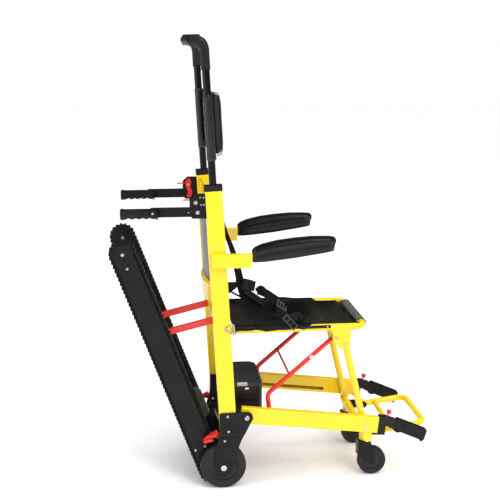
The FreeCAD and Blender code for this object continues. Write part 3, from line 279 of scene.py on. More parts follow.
def wheel_rubber(name, axle, tyre_from, hub_level, tyre_level):
    """One wheel: a nylon hub inside, a rubber tyre outside, with fine turned rings on both."""
    n = Nodes(name)
    place = n.add("ShaderNodeSeparateXYZ", {0: n.place}).outputs
    dx = n.maths("SUBTRACT", place["X"], axle.x)
    dz = n.maths("SUBTRACT", place["Z"], axle.z)
    radius = n.maths("SQRT", n.maths("ADD", n.maths("MULTIPLY", dx, dx), n.maths("MULTIPLY", dz, dz)))
    tyre = n.span(radius, 0.0, 1.0, tyre_from - 0.0004, tyre_from + 0.0004)
    hub = n.ramp(n.noise(16.0, 5.0), 0.3, 0.75, (hub_level * 0.8,) * 3, (hub_level * 1.25,) * 3)
    tread = n.ramp(n.noise(22.0, 8.0, 0.65), 0.35, 0.8, (tyre_level,) * 3, (tyre_level * 2.0,) * 3)
    rings = n.maths("SINE", n.maths("MULTIPLY", radius, 2 * math.pi / 0.0042))
    groove = n.span(n.maths("ABSOLUTE", n.maths("SUBTRACT", radius, tyre_from)), 0.0, 1.0, 0.0, 0.0012)
    height = n.maths("ADD", n.maths("MULTIPLY", rings, 0.08), groove)
    roughness = n.span(n.noise(45.0, 6.0), 0.4, 0.62, 0.3, 0.75)
    normal = n.bump(height, 0.35, 0.0007, n.soft_edges(0.0015))
    normal = n.bump(n.noise(380.0, 3.0), 0.12, 0.0004, normal)
    return n.finish(n.blend(tyre, hub, tread), roughness, normal, Specular_IOR_Level=0.26)


def pale_floor():
    """A nearly white floor that glows a little, so that it meets the backdrop without an edge."""
    n = Nodes("floor_pale")
    body = n.ramp(n.noise(2.0, 3.0), 0.3, 0.7, (0.96, 0.96, 0.96), (0.975, 0.975, 0.975))
    return n.finish(body, n.span(n.noise(30.0), 0.55, 0.7), Emission_Strength=0.07)


YELLOW = painted("yellow_coat", (1.0, 0.70, 0.008), (0.97, 0.66, 0.008), 0.24, (0.98, 0.76, 0.12))
RED = painted("red_coat", (0.82, 0.035, 0.022), (0.68, 0.02, 0.014), 0.28, (0.90, 0.30, 0.24))
RED_PLASTIC = moulded("red_plastic", (0.55, 0.012, 0.012), (0.78, 0.028, 0.022), 0.32, coat=0.3)
BLACK_COAT = powder_black("black_coat", 0.0045, 0.36)
TUBE_BLACK = powder_black("tube_black", 0.003, 0.16)
BLACK_PLASTIC = moulded("black_plastic", (0.006,) * 3, (0.013,) * 3, 0.4)
HANDLE_PLASTIC = moulded("handle_plastic", (0.009,) * 3, (0.02,) * 3, 0.34)
BATTERY_PLASTIC = moulded("battery_plastic", (0.0045,) * 3, (0.010,) * 3, 0.3)
# The lid is the case's black plastic made lighter: painted light falling on its top.
TOPLIT_LID_PLASTIC = moulded("lid_plastic", (0.028,) * 3, (0.045, 0.045, 0.048), 0.3)
GRIP = rubber("grip_rubber", 0.008, 0.5)
ARM_SKIN = leather("arm_skin", 0.006, 0.3, 0.12)
BELT = rubber("belt_rubber", 0.006, 0.5, 200.0)
STEEL = metal("zinc_steel", 0.72)
MOTOR = powder_black("motor_grey", 0.075, 0.3)
HUB = moulded("hub_nylon", (0.024,) * 3, (0.042,) * 3, 0.42)
LEATHERETTE = leather("leatherette", 0.010, 0.22, 0.08, 0.05, 0.5)
SHEET_CLOTH = leather("sheet_cloth", 0.045, 0.32, 0.25)
SLING = leather("sling_cloth", 0.0065, 0.3, 0.04, 0.02, 0.16)
WEBBING = woven("webbing_black", 0.007)
GREY_WEBBING = woven("webbing_grey", 0.10)
GREY_PLASTIC = moulded("grey_plastic", (0.07,) * 3, (0.12,) * 3, 0.4)
DARK_PLASTIC = moulded("dark_plastic", (0.035,) * 3, (0.06,) * 3, 0.35)
BLANK_LABEL = moulded("blank_label", (0.42,) * 3, (0.55,) * 3, 0.4)
CELLS = moulded("cell_wrap", (0.03, 0.08, 0.22), (0.05, 0.11, 0.28), 0.35)
WHEEL = {name: wheel_rubber(f"wheel_{name}", REAR_AXLE, 0.052, 0.022, 0.012) for _, name in SIDES}
CASTER_AXLE = middle("caster_wheel_right")
CASTER = wheel_rubber("caster_wheel", CASTER_AXLE, 0.030, 0.020, 0.012)

BY_SLOT = {
    "frame_yellow": YELLOW, "black_coat": BLACK_COAT, "red_coat": RED, "red_plastic": RED_PLASTIC,
    "black_plastic": BLACK_PLASTIC, "battery_plastic": BATTERY_PLASTIC, "lid_plastic": TOPLIT_LID_PLASTIC,
    "grip_rubber": GRIP, "arm_foam": ARM_SKIN, "tube_black": TUBE_BLACK, "steel": STEEL,
    "hub_grey": HUB, "caster_tyre": CASTER, "belt_rubber": BELT, "motor_grey": MOTOR,
    "leatherette": LEATHERETTE, "sheet_cloth": SHEET_CLOTH, "sling_cloth": SLING, "webbing": WEBBING,
    "cell_wrap": CELLS,
}
SLOT_OF = {material.name: slot for slot, material in BY_SLOT.items()}
SLOT_OF |= {material.name: "black_plastic" for material in (HANDLE_PLASTIC, GREY_PLASTIC, DARK_PLASTIC)}
SLOT_OF |= {GREY_WEBBING.name: "webbing", BLANK_LABEL.name: "lid_plastic"}


def dress_cad_nodes():
    """Give every carried-over CAD node the material of its slot."""
    for part in frame["record"]["subparts"]:
        node = frame["nodes"][part["node"]]
        material = BY_SLOT[part["material_slot"]]
        if part["node"].startswith("rear_wheel_"):
            material = WHEEL[part["node"].rsplit("_", 1)[1]]
        if not node.material_slots:
            node.data.materials.append(None)
        for holder in node.material_slots:
            holder.link = "OBJECT"
            holder.material = material


# ---------------- mesh helpers


def make(name, vertices, faces, material, body, sharp=40.0, uv=None, slot=None):
    """A mesh piece that rides on a body. The slot argument is not used."""
    mesh = bpy.data.meshes.new(name)
    mesh.from_pydata([tuple(v) for v in vertices], [], faces)
    mesh.update()
    b = bmesh.new()
    b.from_mesh(mesh)
    bmesh.ops.recalc_face_normals(b, faces=b.faces)
    b.to_mesh(mesh)
    b.free()
    mesh.shade_smooth()
    mesh.set_sharp_from_angle(angle=math.radians(sharp))
    if uv:
        layer = mesh.uv_layers.new(name="UVMap")
        for loop in mesh.loops:
            layer.data[loop.index].uv = uv[loop.vertex_index]
    mesh.materials.append(material)
    obj = bpy.data.objects.new(name, mesh)
    bpy.context.scene.collection.objects.link(obj)
    if body:
        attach(obj, body)
    return obj


def spread(start, end, steps):
    """Evenly spaced numbers from start to end, both included."""
    return [start + (end - start) * i / steps for i in range(steps + 1)]


def angles_round(count):
    return [2 * math.pi * i / count for i in range(count)]


def patch(lines):
    """Vertices and faces of an open surface through lines of equally many points."""
    count = len(lines[0])
    faces = []
    for row in range(0, count * (len(lines) - 1), count):
        for corner in range(row, row + count - 1):
            faces.append((corner, corner + 1, corner + count + 1, corner + count))
    return [point for line in lines for point in line], faces


def add_modifier(obj, kind, **settings):
    modifier = obj.modifiers.new(kind.lower(), kind)
    for key, value in settings.items():
        setattr(modifier, key, value)
    return modifier


def skin(rings):
    """Vertices and faces of a skin over closed rings, closed at both ends."""
    count = len(rings[0])
    vertices = [p for r in rings for p in r]
    faces = []
    for i in range(len(rings) - 1):
        for j in range(count):
            k = (j + 1) % count
            faces.append((i * count + j, i * count + k, (i + 1) * count + k, (i + 1) * count + j))
    faces.append(tuple(range(count))[::-1])
    faces.append(tuple((len(rings) - 1) * count + j for j in range(count)))
    return vertices, faces


def smooth_path(points, steps=6):
    """Points along a Catmull-Rom curve through the given ones."""
    result = []
    last = len(points) - 1
    for i in range(last):
        a = points[max(i - 1, 0)]
        b = points[i]
        c = points[i + 1]
        d = points[min(i + 2, last)]
        for j in range(steps):
            t = j / steps
            result.append(0.5 * (2 * b + (c - a) * t + (2 * a - 5 * b + 4 * c - d) * t * t
                                 + (3 * b - a - 3 * c + d) * t ** 3))
    result.append(Vector(points[last]))
    return result


def frames_along(path, first_side):
    """(tangent, side, up) at every point of a path, turned as little as possible."""
    result = []
    side = Vector(first_side)
    for i in range(len(path)):
        tangent = (path[min(i + 1, len(path) - 1)] - path[max(i - 1, 0)]).normalized()
        side = (side - tangent * side.dot(tangent)).normalized()
        result.append((tangent, side, tangent.cross(side)))
    return result


def oval(centre, side, up, half_side, half_up, count=16, power=2.0):
    """A superellipse ring about a centre."""
    ring = []
    for a in angles_round(count):
        c = math.cos(a)
        s = math.sin(a)
        ring.append(centre + side * (half_side * math.copysign(abs(c) ** (2 / power), c))
                    + up * (half_up * math.copysign(abs(s) ** (2 / power), s)))
    return ring


def sweep(name, path, first_side, half_side, half_up, material, body, power=2.0, count=16, slot=None):
    """A solid of one section swept along a path. The half sizes may be functions of 0 to 1."""
    rings = []
    last = len(path) - 1
    for i, (point, (_, side, up)) in enumerate(zip(path, frames_along(path, first_side))):
        t = i / last
        wide = half_side(t) if callable(half_side) else half_side
        tall = half_up(t) if callable(half_up) else half_up
        rings.append(oval(point, side, up, wide, tall, count, power))
    return make(name, *skin(rings), material, body, slot=slot)


def strap(name, points, across, width, material, body, thickness=0.0022, steps=6, turn=0.0, taper=1.0):
    """A strap of webbing with rounded edges and a selvedge, with UVs in metres. It may twist and taper."""
    path = smooth_path([Vector(p) for p in points], steps)
    rim = thickness / 2
    rings = []
    uv = []
    along = 0.0
    for i, (point, (tangent, side, up)) in enumerate(zip(path, frames_along(path, across))):
        share = i / (len(path) - 1)
        half = width / 2 * (1 + (taper - 1) * share)
        upper = [(half, 0), (half - rim, rim), (half - 0.003, rim * 1.25), (half - 0.0045, rim)]
        profile = [(-u, v) for u, v in upper] + [(0, rim)] + upper[::-1]
        profile += [(half - rim, -rim), (0, -rim), (-half + rim, -rim)]
        if i:
            along += (point - path[i - 1]).length
        twist = Matrix.Rotation(turn * share, 3, tangent)
        side = twist @ side
        up = twist @ up
        rings.append([point + side * u + up * v for u, v in profile])
        uv += [(u, along) for u, v in profile]
    return make(name, *skin(rings), material, body, uv=uv)


def rounded_slab(name, centre, axes, size, corner, material, body, edge=0.0012):
    """A plate with rounded corners and softened edges. axes are its length, width and thickness."""
    along, across, up = axes
    outline = []
    for cx, cy, start in ((1, 1, 0), (-1, 1, 90), (-1, -1, 180), (1, -1, 270)):
        for step in range(5):
            a = math.radians(start + step * 22.5)
            outline.append((cx * (size[0] / 2 - corner) + corner * math.cos(a),
                            cy * (size[1] / 2 - corner) + corner * math.sin(a)))
    half = size[2] / 2
    rings = []
    for inset, rise in ((edge, -half), (0, -half + edge), (0, half - edge), (edge, half)):
        long = 1 - 2 * inset / size[0]
        wide = 1 - 2 * inset / size[1]
        rings.append([centre + along * (x * long) + across * (y * wide) + up * rise for x, y in outline])
    return make(name, *skin(rings), material, body, 50.0)


def turned(name, centre, axis, profile, material, body, count=32):
    """A solid of revolution: profile holds (distance along the axis, radius)."""
    side = axis.orthogonal().normalized()
    up = axis.cross(side)
    rings = [oval(centre + axis * along, side, up, radius, radius, count) for along, radius in profile]
    return make(name, *skin(rings), material, body)


def socket_head(name, centre, axis, radius, body):
    """A button-head screw with a hexagon socket, its flat face at the centre."""
    side = axis.orthogonal().normalized()
    up = axis.cross(side)
    tall = radius * 0.6
    profile = [(0, radius), (tall * 0.35, radius * 0.99), (tall * 0.75, radius * 0.86), (tall, radius * 0.6)]
    rings = [oval(centre + axis * a, side, up, r, r, 24) for a, r in profile]
    hexagon = []
    for a in angles_round(24):
        reach = radius * 0.42 / math.cos((a % (math.pi / 3)) - math.pi / 6)
        hexagon.append((side * math.cos(a) + up * math.sin(a)) * reach)
    rings.append([centre + axis * tall + h for h in hexagon])
    rings.append([centre + axis * (tall * 0.3) + h for h in hexagon])
    return make(name, *skin(rings), STEEL, body, 30.0)


def islands(node):
    """(lowest, highest) corner of each separate solid of a CAD node."""
    mesh = frame["nodes"][node].data
    b = bmesh.new()
    b.from_mesh(mesh)
    bmesh.ops.remove_doubles(b, verts=b.verts, dist=1e-6)
    unseen = set(b.verts)
    found = []
    while unseen:
        stack = [unseen.pop()]
        points = []
        while stack:
            vertex = stack.pop()
            points.append(vertex.co.copy())
            for edge in vertex.link_edges:
                other = edge.other_vert(vertex)
                if other in unseen:
                    unseen.discard(other)
                    stack.append(other)
        found.append((Vector(min(p[i] for p in points) for i in range(3)),
                      Vector(max(p[i] for p in points) for i in range(3))))
    b.free()
    return sorted(found, key=lambda c: tuple(round(v, 4) for v in c[0]))


# ---------------- push handle and headrest


def push_handle():
    """Moulded arms that bend backwards from the telescopic tubes to a foam-covered bar."""
    bar = low("handle_head").x + 0.017
    top = high("handle_head").z - 0.0192
    foot = low("handle_head").z
    for side, name in SIDES:
        y = side * POST_OUT
        corner = on_post(top, 0, y)
        rise = [on_post(z, 0, y) for z in (foot + 0.004, foot + 0.03, top - 0.05)]
        bend = [corner + Vector((0.0005, 0, -0.028)), corner + Vector((-0.008, 0, -0.010)),
                corner + Vector((-0.026, 0, -0.0005))]
        path = smooth_path(rise + bend + [Vector((bar + 0.02, y, top)), Vector((bar - 0.004, y, top))], 7)
        sweep(f"push_arm_{name}", path, Y, lambda t: 0.0145 + 0.0005 * t,
                            lambda t: 0.0150 + 0.0040 * min(1, max(0, (t - 0.35) / 0.3)), HANDLE_PLASTIC,
                            "handle", 3.4, 28)
        turned(f"push_collar_{name}", on_post(foot, 0, y), POST_UP,
               [(0.0, 0.0146), (0.0006, 0.0162), (0.0026, 0.0165), (0.0034, 0.0155), (0.004, 0.0147)],
               BLACK_PLASTIC, "handle")
        cap = Vector((bar - 0.0058, y, top))
        rounded_slab(f"push_end_cap_{name}", cap, (Y, Z, X), (0.0275, 0.0370, 0.0040),
                     0.006, BLACK_PLASTIC, "handle", 0.001)
    inner = POST_OUT - 0.0155
    ridges = []
    for i, along in enumerate(spread(-inner, inner, 60)):
        dip = 0.0022 if inner - abs(along) < 0.004 else 0.0
        ridges.append((along, 0.0165 - dip + 0.00025 * math.cos(i * math.pi)))
    turned("push_bar_foam", Vector((bar, 0, top)), Y, ridges, GRIP, "handle", 36)
    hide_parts("handle_head")


def cushion(name, half, puff_cap, material):
    length, width, thickness = half
    vertices = []
    faces = []
    counts = (40, 22)
    for face in (-1, 1):
        for u in spread(-1, 1, counts[0]):
            for v in spread(-1, 1, counts[1]):
                crown = (1 - abs(u) ** 6) * (1 - abs(v) ** 4)
                swell = 0.80 + 0.20 * crown ** 0.5
                out = pad_front(v) if face > 0 else -1.0
                vertices.append(Vector((out * thickness * swell, u * length, v * width)))
    row = counts[1] + 1
    layer = row * (counts[0] + 1)
    for face in (0, 1):
        for i in range(counts[0]):
            for j in range(counts[1]):
                a = face * layer + i * row + j
                quad = (a, a + 1, a + row + 1, a + row)
                faces.append(quad if face else quad[::-1])
    rim = [i * row for i in range(counts[0])] + [counts[0] * row + j for j in range(counts[1])]
    rim += [i * row + counts[1] for i in range(counts[0], 0, -1)] + [j for j in range(counts[1], 0, -1)]
    for i, a in enumerate(rim):
        c = rim[(i + 1) % len(rim)]
        faces.append((a, c, c + layer, a + layer))
    obj = make(name, vertices, faces, material, None)
    puff(obj, puff_cap)
    return obj


def puff(obj, cap, pressure=4.0, steps=20):
    """Blow a closed mesh up with the cloth solver, keep each point near its start, and apply it."""
    add_modifier(obj, "REMESH", mode="VOXEL", voxel_size=0.006)
    apply_modifiers(obj)
    start = [v.co.copy() for v in obj.data.vertices]
    cloth = add_modifier(obj, "CLOTH")
    cloth.settings.use_pressure = True
    cloth.settings.uniform_pressure_force = pressure
    cloth.settings.effector_weights.gravity = 0.0
    cloth.settings.quality = 5
    cloth.settings.mass = 0.25
    scene = bpy.context.scene
    cloth.point_cache.frame_start = 1
    cloth.point_cache.frame_end = steps
    for step in range(1, steps + 1):
        scene.frame_set(step)
    apply_modifiers(obj)
    scene.frame_set(1)
    for vertex, first in zip(obj.data.vertices, start):
        move = vertex.co - first
        if move.length > cap:
            vertex.co = first + move * (cap / move.length)
    add_modifier(obj, "SUBSURF", levels=1, render_levels=1)
    apply_modifiers(obj)
    obj.data.shade_smooth()


def apply_modifiers(obj):
    """Swap the mesh for its evaluated copy and drop the modifiers."""
    graph = bpy.context.evaluated_depsgraph_get()
    mesh = bpy.data.meshes.new_from_object(obj.evaluated_get(graph))
    old = obj.data
    obj.modifiers.clear()
    obj.data = mesh
    bpy.data.meshes.remove(old)


def pad_front(v):
    """How far forward an upholstered pad's front face stands at v, from its foot (-1) to its head (1)."""
    return 1.65 * max(0.0, 1 - abs(v) ** 9) ** 0.45 - 0.65


def headrest():
    """A puffed pad with piping, held by stitched sleeves round the telescopic tubes."""
    centre_z = (low("headrest").z + high("headrest").z) / 2 - 0.002
    half_high = 0.1045
    ahead = 0.0285
    thickness = 0.0142
    place = Matrix.Translation(on_post(centre_z, ahead)) @ Matrix.Rotation(-POST_LEAN, 4, "Y")
    pad = cushion("headrest_pad", (POST_OUT - 0.008, half_high, thickness), 0.004, LEATHERETTE)
    pad.data.transform(place)
    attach(pad, "headrest")
    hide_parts("headrest")
    for side, name in SIDES:
        rim = [place @ Vector((thickness * pad_front(v) * 0.84, side * (POST_OUT - 0.009), half_high * v))
               for v in spread(-1, 1, 40)]
        sweep(f"headrest_piping_{name}", rim, Y, 0.0017, 0.0017, LEATHERETTE, "headrest", count=8)
    for side, name in SIDES:
        headrest_sleeve(side, name)


def headrest_sleeve(side, name):
    """A wrinkled sleeve round one telescopic tube, with its seam and the two tabs that hold the pad."""
    sleeve_length = 0.213
    sleeve_radius = 0.0146
    sleeve_low = low("headrest").z + 0.0015
    sleeve_high = sleeve_low + sleeve_length
    y = side * POST_OUT
    rings = []
    for t in spread(0, 1, 46):
        z = sleeve_low + (sleeve_high - sleeve_low) * t
        centre = on_post(z, 0, y)
        ring = []
        for a in angles_round(28):
            spot = Vector((math.cos(a) * 3 + side, math.sin(a) * 3, z * 34))
            wrinkle = 0.0006 * noise.noise(spot) + 0.0004 * noise.noise(spot * 2.3)
            hem = 0.0005 if 0.03 < min(t, 1 - t) * 2 < 0.075 else 0.0
            reach = sleeve_radius + wrinkle + hem - (0.0010 if min(t, 1 - t) < 0.004 else 0)
            tail = 0.0026 * max(0.0, math.cos(a)) ** 6
            ring.append(centre + POST_AHEAD * (math.cos(a) * (reach + tail)) + Y * (math.sin(a) * reach))
        rings.append(ring)
    make(f"headrest_sleeve_{name}", *skin(rings), LEATHERETTE, "headrest")
    seam = [on_post(z, 0.0022, y + side * 0.0149)
            for z in spread(sleeve_low + 0.004, sleeve_low + 0.209, 24)]
    sweep(f"headrest_seam_{name}", seam, X, 0.0012, 0.0007, LEATHERETTE, "headrest", count=8)
    for i, z in enumerate((sleeve_low + 0.035, sleeve_high - 0.012)):
        tab = [on_post(z, 0.012, y - side * 0.012), on_post(z, 0.018, y - side * 0.016),
               on_post(z, 0.021, y - side * 0.030)]
        strap(f"headrest_tab_{name}_{i}", tab, POST_UP, 0.018, WEBBING, "headrest", 0.0022, 4)


# ---------------- backrest


def backrest():
    """A coated sheet stretched between the posts, with rolled hems and two stitch lines."""
    bottom = low("backrest_sheet").z + 0.004
    top = high("backrest_sheet").z - 0.004
    half = high("backrest_sheet").y - 0.0015
    bulge = 0.024

    def at(u, v, lift=0.0):
        y = u * half
        z = bottom + (top - bottom) * v
        sag = bulge * (1 - u * u) - 0.0025
        ripple = 0.0012 * noise.noise(Vector((u * 3, v * 5, 0.5))) * (1 - u * u)
        return on_post(z, -0.013 - sag + ripple + lift, y)

    lines = [[at(u, v) for v in spread(0, 1, 34)] for u in spread(-1, 1, 48)]
    sheet = make("backrest_cloth", *patch(lines), SHEET_CLOTH, "base")
    add_modifier(sheet, "SOLIDIFY", thickness=0.0022, offset=0.0)
    apply_modifiers(sheet)
    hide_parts("backrest_sheet")
    for label, v in (("top", 1.0), ("bottom", 0.0)):
        hem = [at(u, v) for u in spread(-1, 1, 40)]
        sweep(f"backrest_hem_{label}", hem, Z, 0.0045, 0.0026, SHEET_CLOTH, "base", count=12)
    for label, v in (("top", 0.93), ("bottom", 0.07)):
        for face, lift in (("front", 0.0014), ("rear", -0.0014)):
            line = [at(u, v, lift) for u in spread(-0.985, 0.985, 60)]
            sweep(f"backrest_stitch_{label}_{face}", line, Z, 0.0007, 0.0004, SHEET_CLOTH, "base", count=6)


# ---------------- armrests


def armrests():
    """Moulded arm pads: a crowned top that overhangs a narrower foot, with a long crease between."""
    for _, name in SIDES:
        node = f"armrest_{name}"
        pad_low = low(node)
        pad_high = high(node)
        y = (pad_low.y + pad_high.y) / 2
        length = 0.282
        rear = pad_high.x - length
        grip_clearance = 0.001
        half = (pad_high.y - pad_low.y) / 2 - grip_clearance
        base_z = pad_high.z - 0.086
        top_line = ((0.0, 0.043), (0.03, 0.052), (0.12, 0.0630), (0.3, 0.0745), (0.5, 0.0815), (0.7, 0.0855),
                    (0.88, 0.0850), (0.96, 0.0835), (0.985, 0.0815), (1.0, 0.0765))
        bottom_line = ((0.0, 0.002), (0.2, 0.0055), (0.5, 0.0145), (0.8, 0.0265), (1.0, 0.0355))
        rings = []
        for share in spread(0, 1, 56):
            t = 1 - (1 - share) ** 1.25
            top = along_line(top_line, t)
            bottom = along_line(bottom_line, t)
            ends = min(1.0, t / 0.035) ** 0.5
            nose = 1.0 if t < 0.9 else max(0.55, math.sqrt(max(0.0, 1 - ((t - 0.9) / 0.105) ** 2.4)))
            wide = half * (0.86 + 0.14 * min(1, t / 0.15)) * ends * nose
            crease = bottom + (top - bottom) * (0.58 + 0.08 * t)
            ring = []
            for u, v in arm_section():
                if v >= 0:
                    z = crease + (top - crease) * v
                    reach = wide
                    run = length
                else:
                    z = crease + (crease - bottom) * v
                    reach = wide * 0.84
                    run = length * (1 - 0.022 * min(1.0, -v * 4))
                ring.append(Vector((rear + run * t, y + u * reach, base_z + z)))
            rings.append(ring)
        arm = make(f"arm_pad_{name}", *skin(rings), ARM_SKIN, node, sharp=60.0)
        rounded_slab(f"arm_lug_{name}", Vector((pad_low.x + 0.023, y, base_z + 0.017)), (X, Z, Y),
                     (0.046, 0.028, 0.010), 0.009, YELLOW, node)
        for i, t in enumerate((0.2, 0.5, 0.8)):
            floor = base_z + along_line(bottom_line, t)
            centre = Vector((rear + length * t, y, floor + 0.001))
            socket_head(f"arm_screw_{name}_{i}", centre, -Z, 0.0042, node)
        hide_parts(node)


def along_line(points, t):
    """The height at t of a line through (place, height) points."""
    for (a, ha), (b, hb) in zip(points, points[1:]):
        if t <= b:
            return ha + (hb - ha) * (t - a) / (b - a)
    return points[-1][1]


def arm_section():
    """Half widths and heights round an arm pad, with the crease where the height is 0."""
    half = [(0.0, 1.0), (0.3, 0.985), (0.58, 0.92), (0.8, 0.78), (0.93, 0.55), (1.0, 0.25), (0.985, 0.07),
            (0.90, 0.0), (0.93, -0.10), (1.0, -0.30), (1.02, -0.60), (0.97, -0.90), (0.85, -1.0), (0.0, -1.0)]
    return half + [(-u, v) for u, v in half[-2:0:-1]]


# ---------------- rear lifting handles


def rear_handles():
    """Flat steel bars with finger-grooved rubber grips."""
    for side, name in SIDES:
        node = f"rear_handle_{name}"
        handle_low = low(node)
        handle_high = high(node)
        y = (handle_low.y + handle_high.y) / 2
        z = (handle_low.z + handle_high.z) / 2
        eye_x = handle_high.x - 0.016
        eye_z = z + 0.004
        bar_half = 0.0159
        outline = []
        for degrees in range(-90, 91, 15):
            a = math.radians(degrees)
            outline.append((eye_x + bar_half * math.cos(a), eye_z + bar_half * math.sin(a)))
        rear_x = handle_low.x + 0.10
        outline += [(rear_x, eye_z + bar_half), (rear_x, eye_z - bar_half)]
        middle_x = sum(px for px, pz in outline) / len(outline)
        rings = []
        for inset, offset in ((0.0008, -0.005), (0, -0.0042), (0, 0.0042), (0.0008, 0.005)):
            narrow = 1 - inset / 0.016
            short = inset / 0.08
            rings.append([Vector((px + (middle_x - px) * short, y + offset, eye_z + (pz - eye_z) * narrow))
                          for px, pz in outline])
        bar = make(f"lift_bar_{name}", *skin(rings), BLACK_COAT, node, 35.0)
        start = handle_low.x
        length = 0.120
        finger_pitch = 0.19
        rings = []
        for t in spread(0, 1, 72):
            x = start + length * t
            radius = 0.0172 + 0.0022 * math.exp(-((t - 0.05) / 0.05) ** 2)
            radius *= min(1.0, 0.72 + 0.28 * math.sqrt(min(1.0, t / 0.035)))
            radius *= min(1.0, 0.86 + 0.14 * math.sqrt(min(1.0, (1 - t) / 0.02)))
            finger = 0.5 - 0.5 * math.cos(2 * math.pi * (t - 0.14) / finger_pitch) if 0.14 < t < 0.90 else 0.0
            ring = []
            for a in angles_round(32):
                below = max(0.0, -math.sin(a)) ** 1.5
                ribs = 0.00018 * math.cos(18 * a) * (1 if 0.1 < t < 0.93 else 0)
                reach = radius - 0.0036 * finger * below + ribs
                ring.append(Vector((x, y + reach * 0.92 * math.cos(a), z + reach * math.sin(a))))
            rings.append(ring)
        make(f"lift_grip_{name}", *skin(rings), GRIP, node, 50.0)
        guard = [(0.0, 0.016), (0.0006, 0.0198), (0.0025, 0.0207), (0.0045, 0.0198), (0.0052, 0.0165)]
        turned(f"lift_guard_{name}", Vector((start + length - 0.001, y, z)), X, guard, GRIP, node)
        socket_head(f"lift_screw_{name}", Vector((start + length - 0.014, y + side * 0.0158, z + 0.003)),
                    Y * side, 0.0042, node)
        socket_head(f"lift_rivet_{name}", Vector((start + length + 0.105, y + side * 0.005, eye_z - 0.001)),
                    Y * side, 0.0026, node)
        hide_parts(node)


# ---------------- seat sling


SLING_LOW = low("seat_sling")
SLING_HIGH = high("seat_sling")
SEAT_TUBE_OUT = 0.182
SEAT_TUBE_Z = SLING_HIGH.z + 0.010
CLOTH_REAR = SLING_LOW.x - 0.042
POST_SIDE = high("back_posts").y
CLOTH_FRONT = SLING_HIGH.x + 0.012
CLOTH_REACH = TUBE_RADIUS + 0.0014
CLOTH_OUT = SEAT_TUBE_OUT + TUBE_RADIUS + 0.0014


def eased(value, start, end):
    """0 up to start, 1 from end, smooth between."""
    share = min(1.0, max(0.0, (value - start) / (end - start)))
    return share * share * (3 - 2 * share)


def cloth_x(v):
    return CLOTH_REAR + (CLOTH_FRONT - CLOTH_REAR) * v


def sling_height(u, v):
    """Height of the cloth: u runs from the right tube (-1) to the left, v from rear to front."""
    x = cloth_x(v)
    leave = cloth_leaves(1 if u > 0 else -1, v)
    edge = SEAT_TUBE_Z + CLOTH_REACH * math.sin(leave)
    over_rear_tube = 1 - eased(x, SLING_LOW.x - 0.006, SLING_LOW.x + 0.075)
    over_front_tube = eased(x, SLING_HIGH.x - 0.05, SLING_HIGH.x + 0.012)
    sag = 0.0225 * (1 - abs(u) ** 3.2) * (1 - 0.93 * over_rear_tube) * (1 - 0.75 * over_front_tube)
    folds = 0.0030 * math.sin(15 * v + 1.9 * u) * (1 - u * u) * math.exp(-((v - 0.26) / 0.2) ** 2)
    soft = 0.0026 * noise.noise(Vector((u * 1.7, v * 3.1, 0.2))) * (1 - abs(u) ** 3)
    return edge - sag + (folds + soft) * (1 - over_rear_tube) * (1 - over_front_tube)


def cloth_leaves(side, v):
    """The angle round a seat tube where the cloth leaves it for the middle."""
    low_front = eased(v, 0.70, 0.82) if side == LEFT else 0.0
    return math.radians(150 + 26 * low_front)


def cloth_end(side, v):
    """The angle round a seat tube where the cloth's edge lies: low in the rear, high in the front."""
    wave = 9 * math.sin(19 * v + side) + 6 * math.sin(41 * v)
    if side == RIGHT:
        rear, front, change = -8.0, 84.0, 0.60
    else:
        rear, front, change = 5.0, 158.0, 0.76
    share = eased(v, change - 0.05, change + 0.03)
    return math.radians(rear + wave * (1 - share) + (front - rear) * share)


def cloth_over_tube(side, turn, v):
    """A point of the cloth round a seat tube; turn runs from 0 at its inner side to 1 at the edge."""
    leave = cloth_leaves(side, v)
    angle = leave + (cloth_end(side, v) - leave) * turn
    slack = 1 - eased(v, 0.50, 0.64)
    bulge = 0.0042 * slack * math.sin(math.pi * min(1.0, turn * 1.1))
    crease = 0.0034 * noise.noise(Vector((v * 17 - turn * 2.2, turn * 1.6 + side, 0.7))) * turn
    fine = 0.0011 * noise.noise(Vector((v * 52 - turn * 6, turn * 3, 3.1))) * turn
    radius = CLOTH_REACH + bulge + (max(-0.0012, crease) + fine) * (0.35 + 0.65 * slack)
    out = min(SEAT_TUBE_OUT + radius * math.cos(angle), CLOTH_OUT)
    return Vector((cloth_x(v) - 0.004 * turn * slack, side * out, SEAT_TUBE_Z + radius * math.sin(angle)))


def cloth_between(u, v):
    """A point of the cloth between the two seat tubes."""
    half = SEAT_TUBE_OUT + CLOTH_REACH * math.cos(cloth_leaves(1 if u > 0 else -1, v))
    return Vector((cloth_x(v), u * half, sling_height(u, v)))


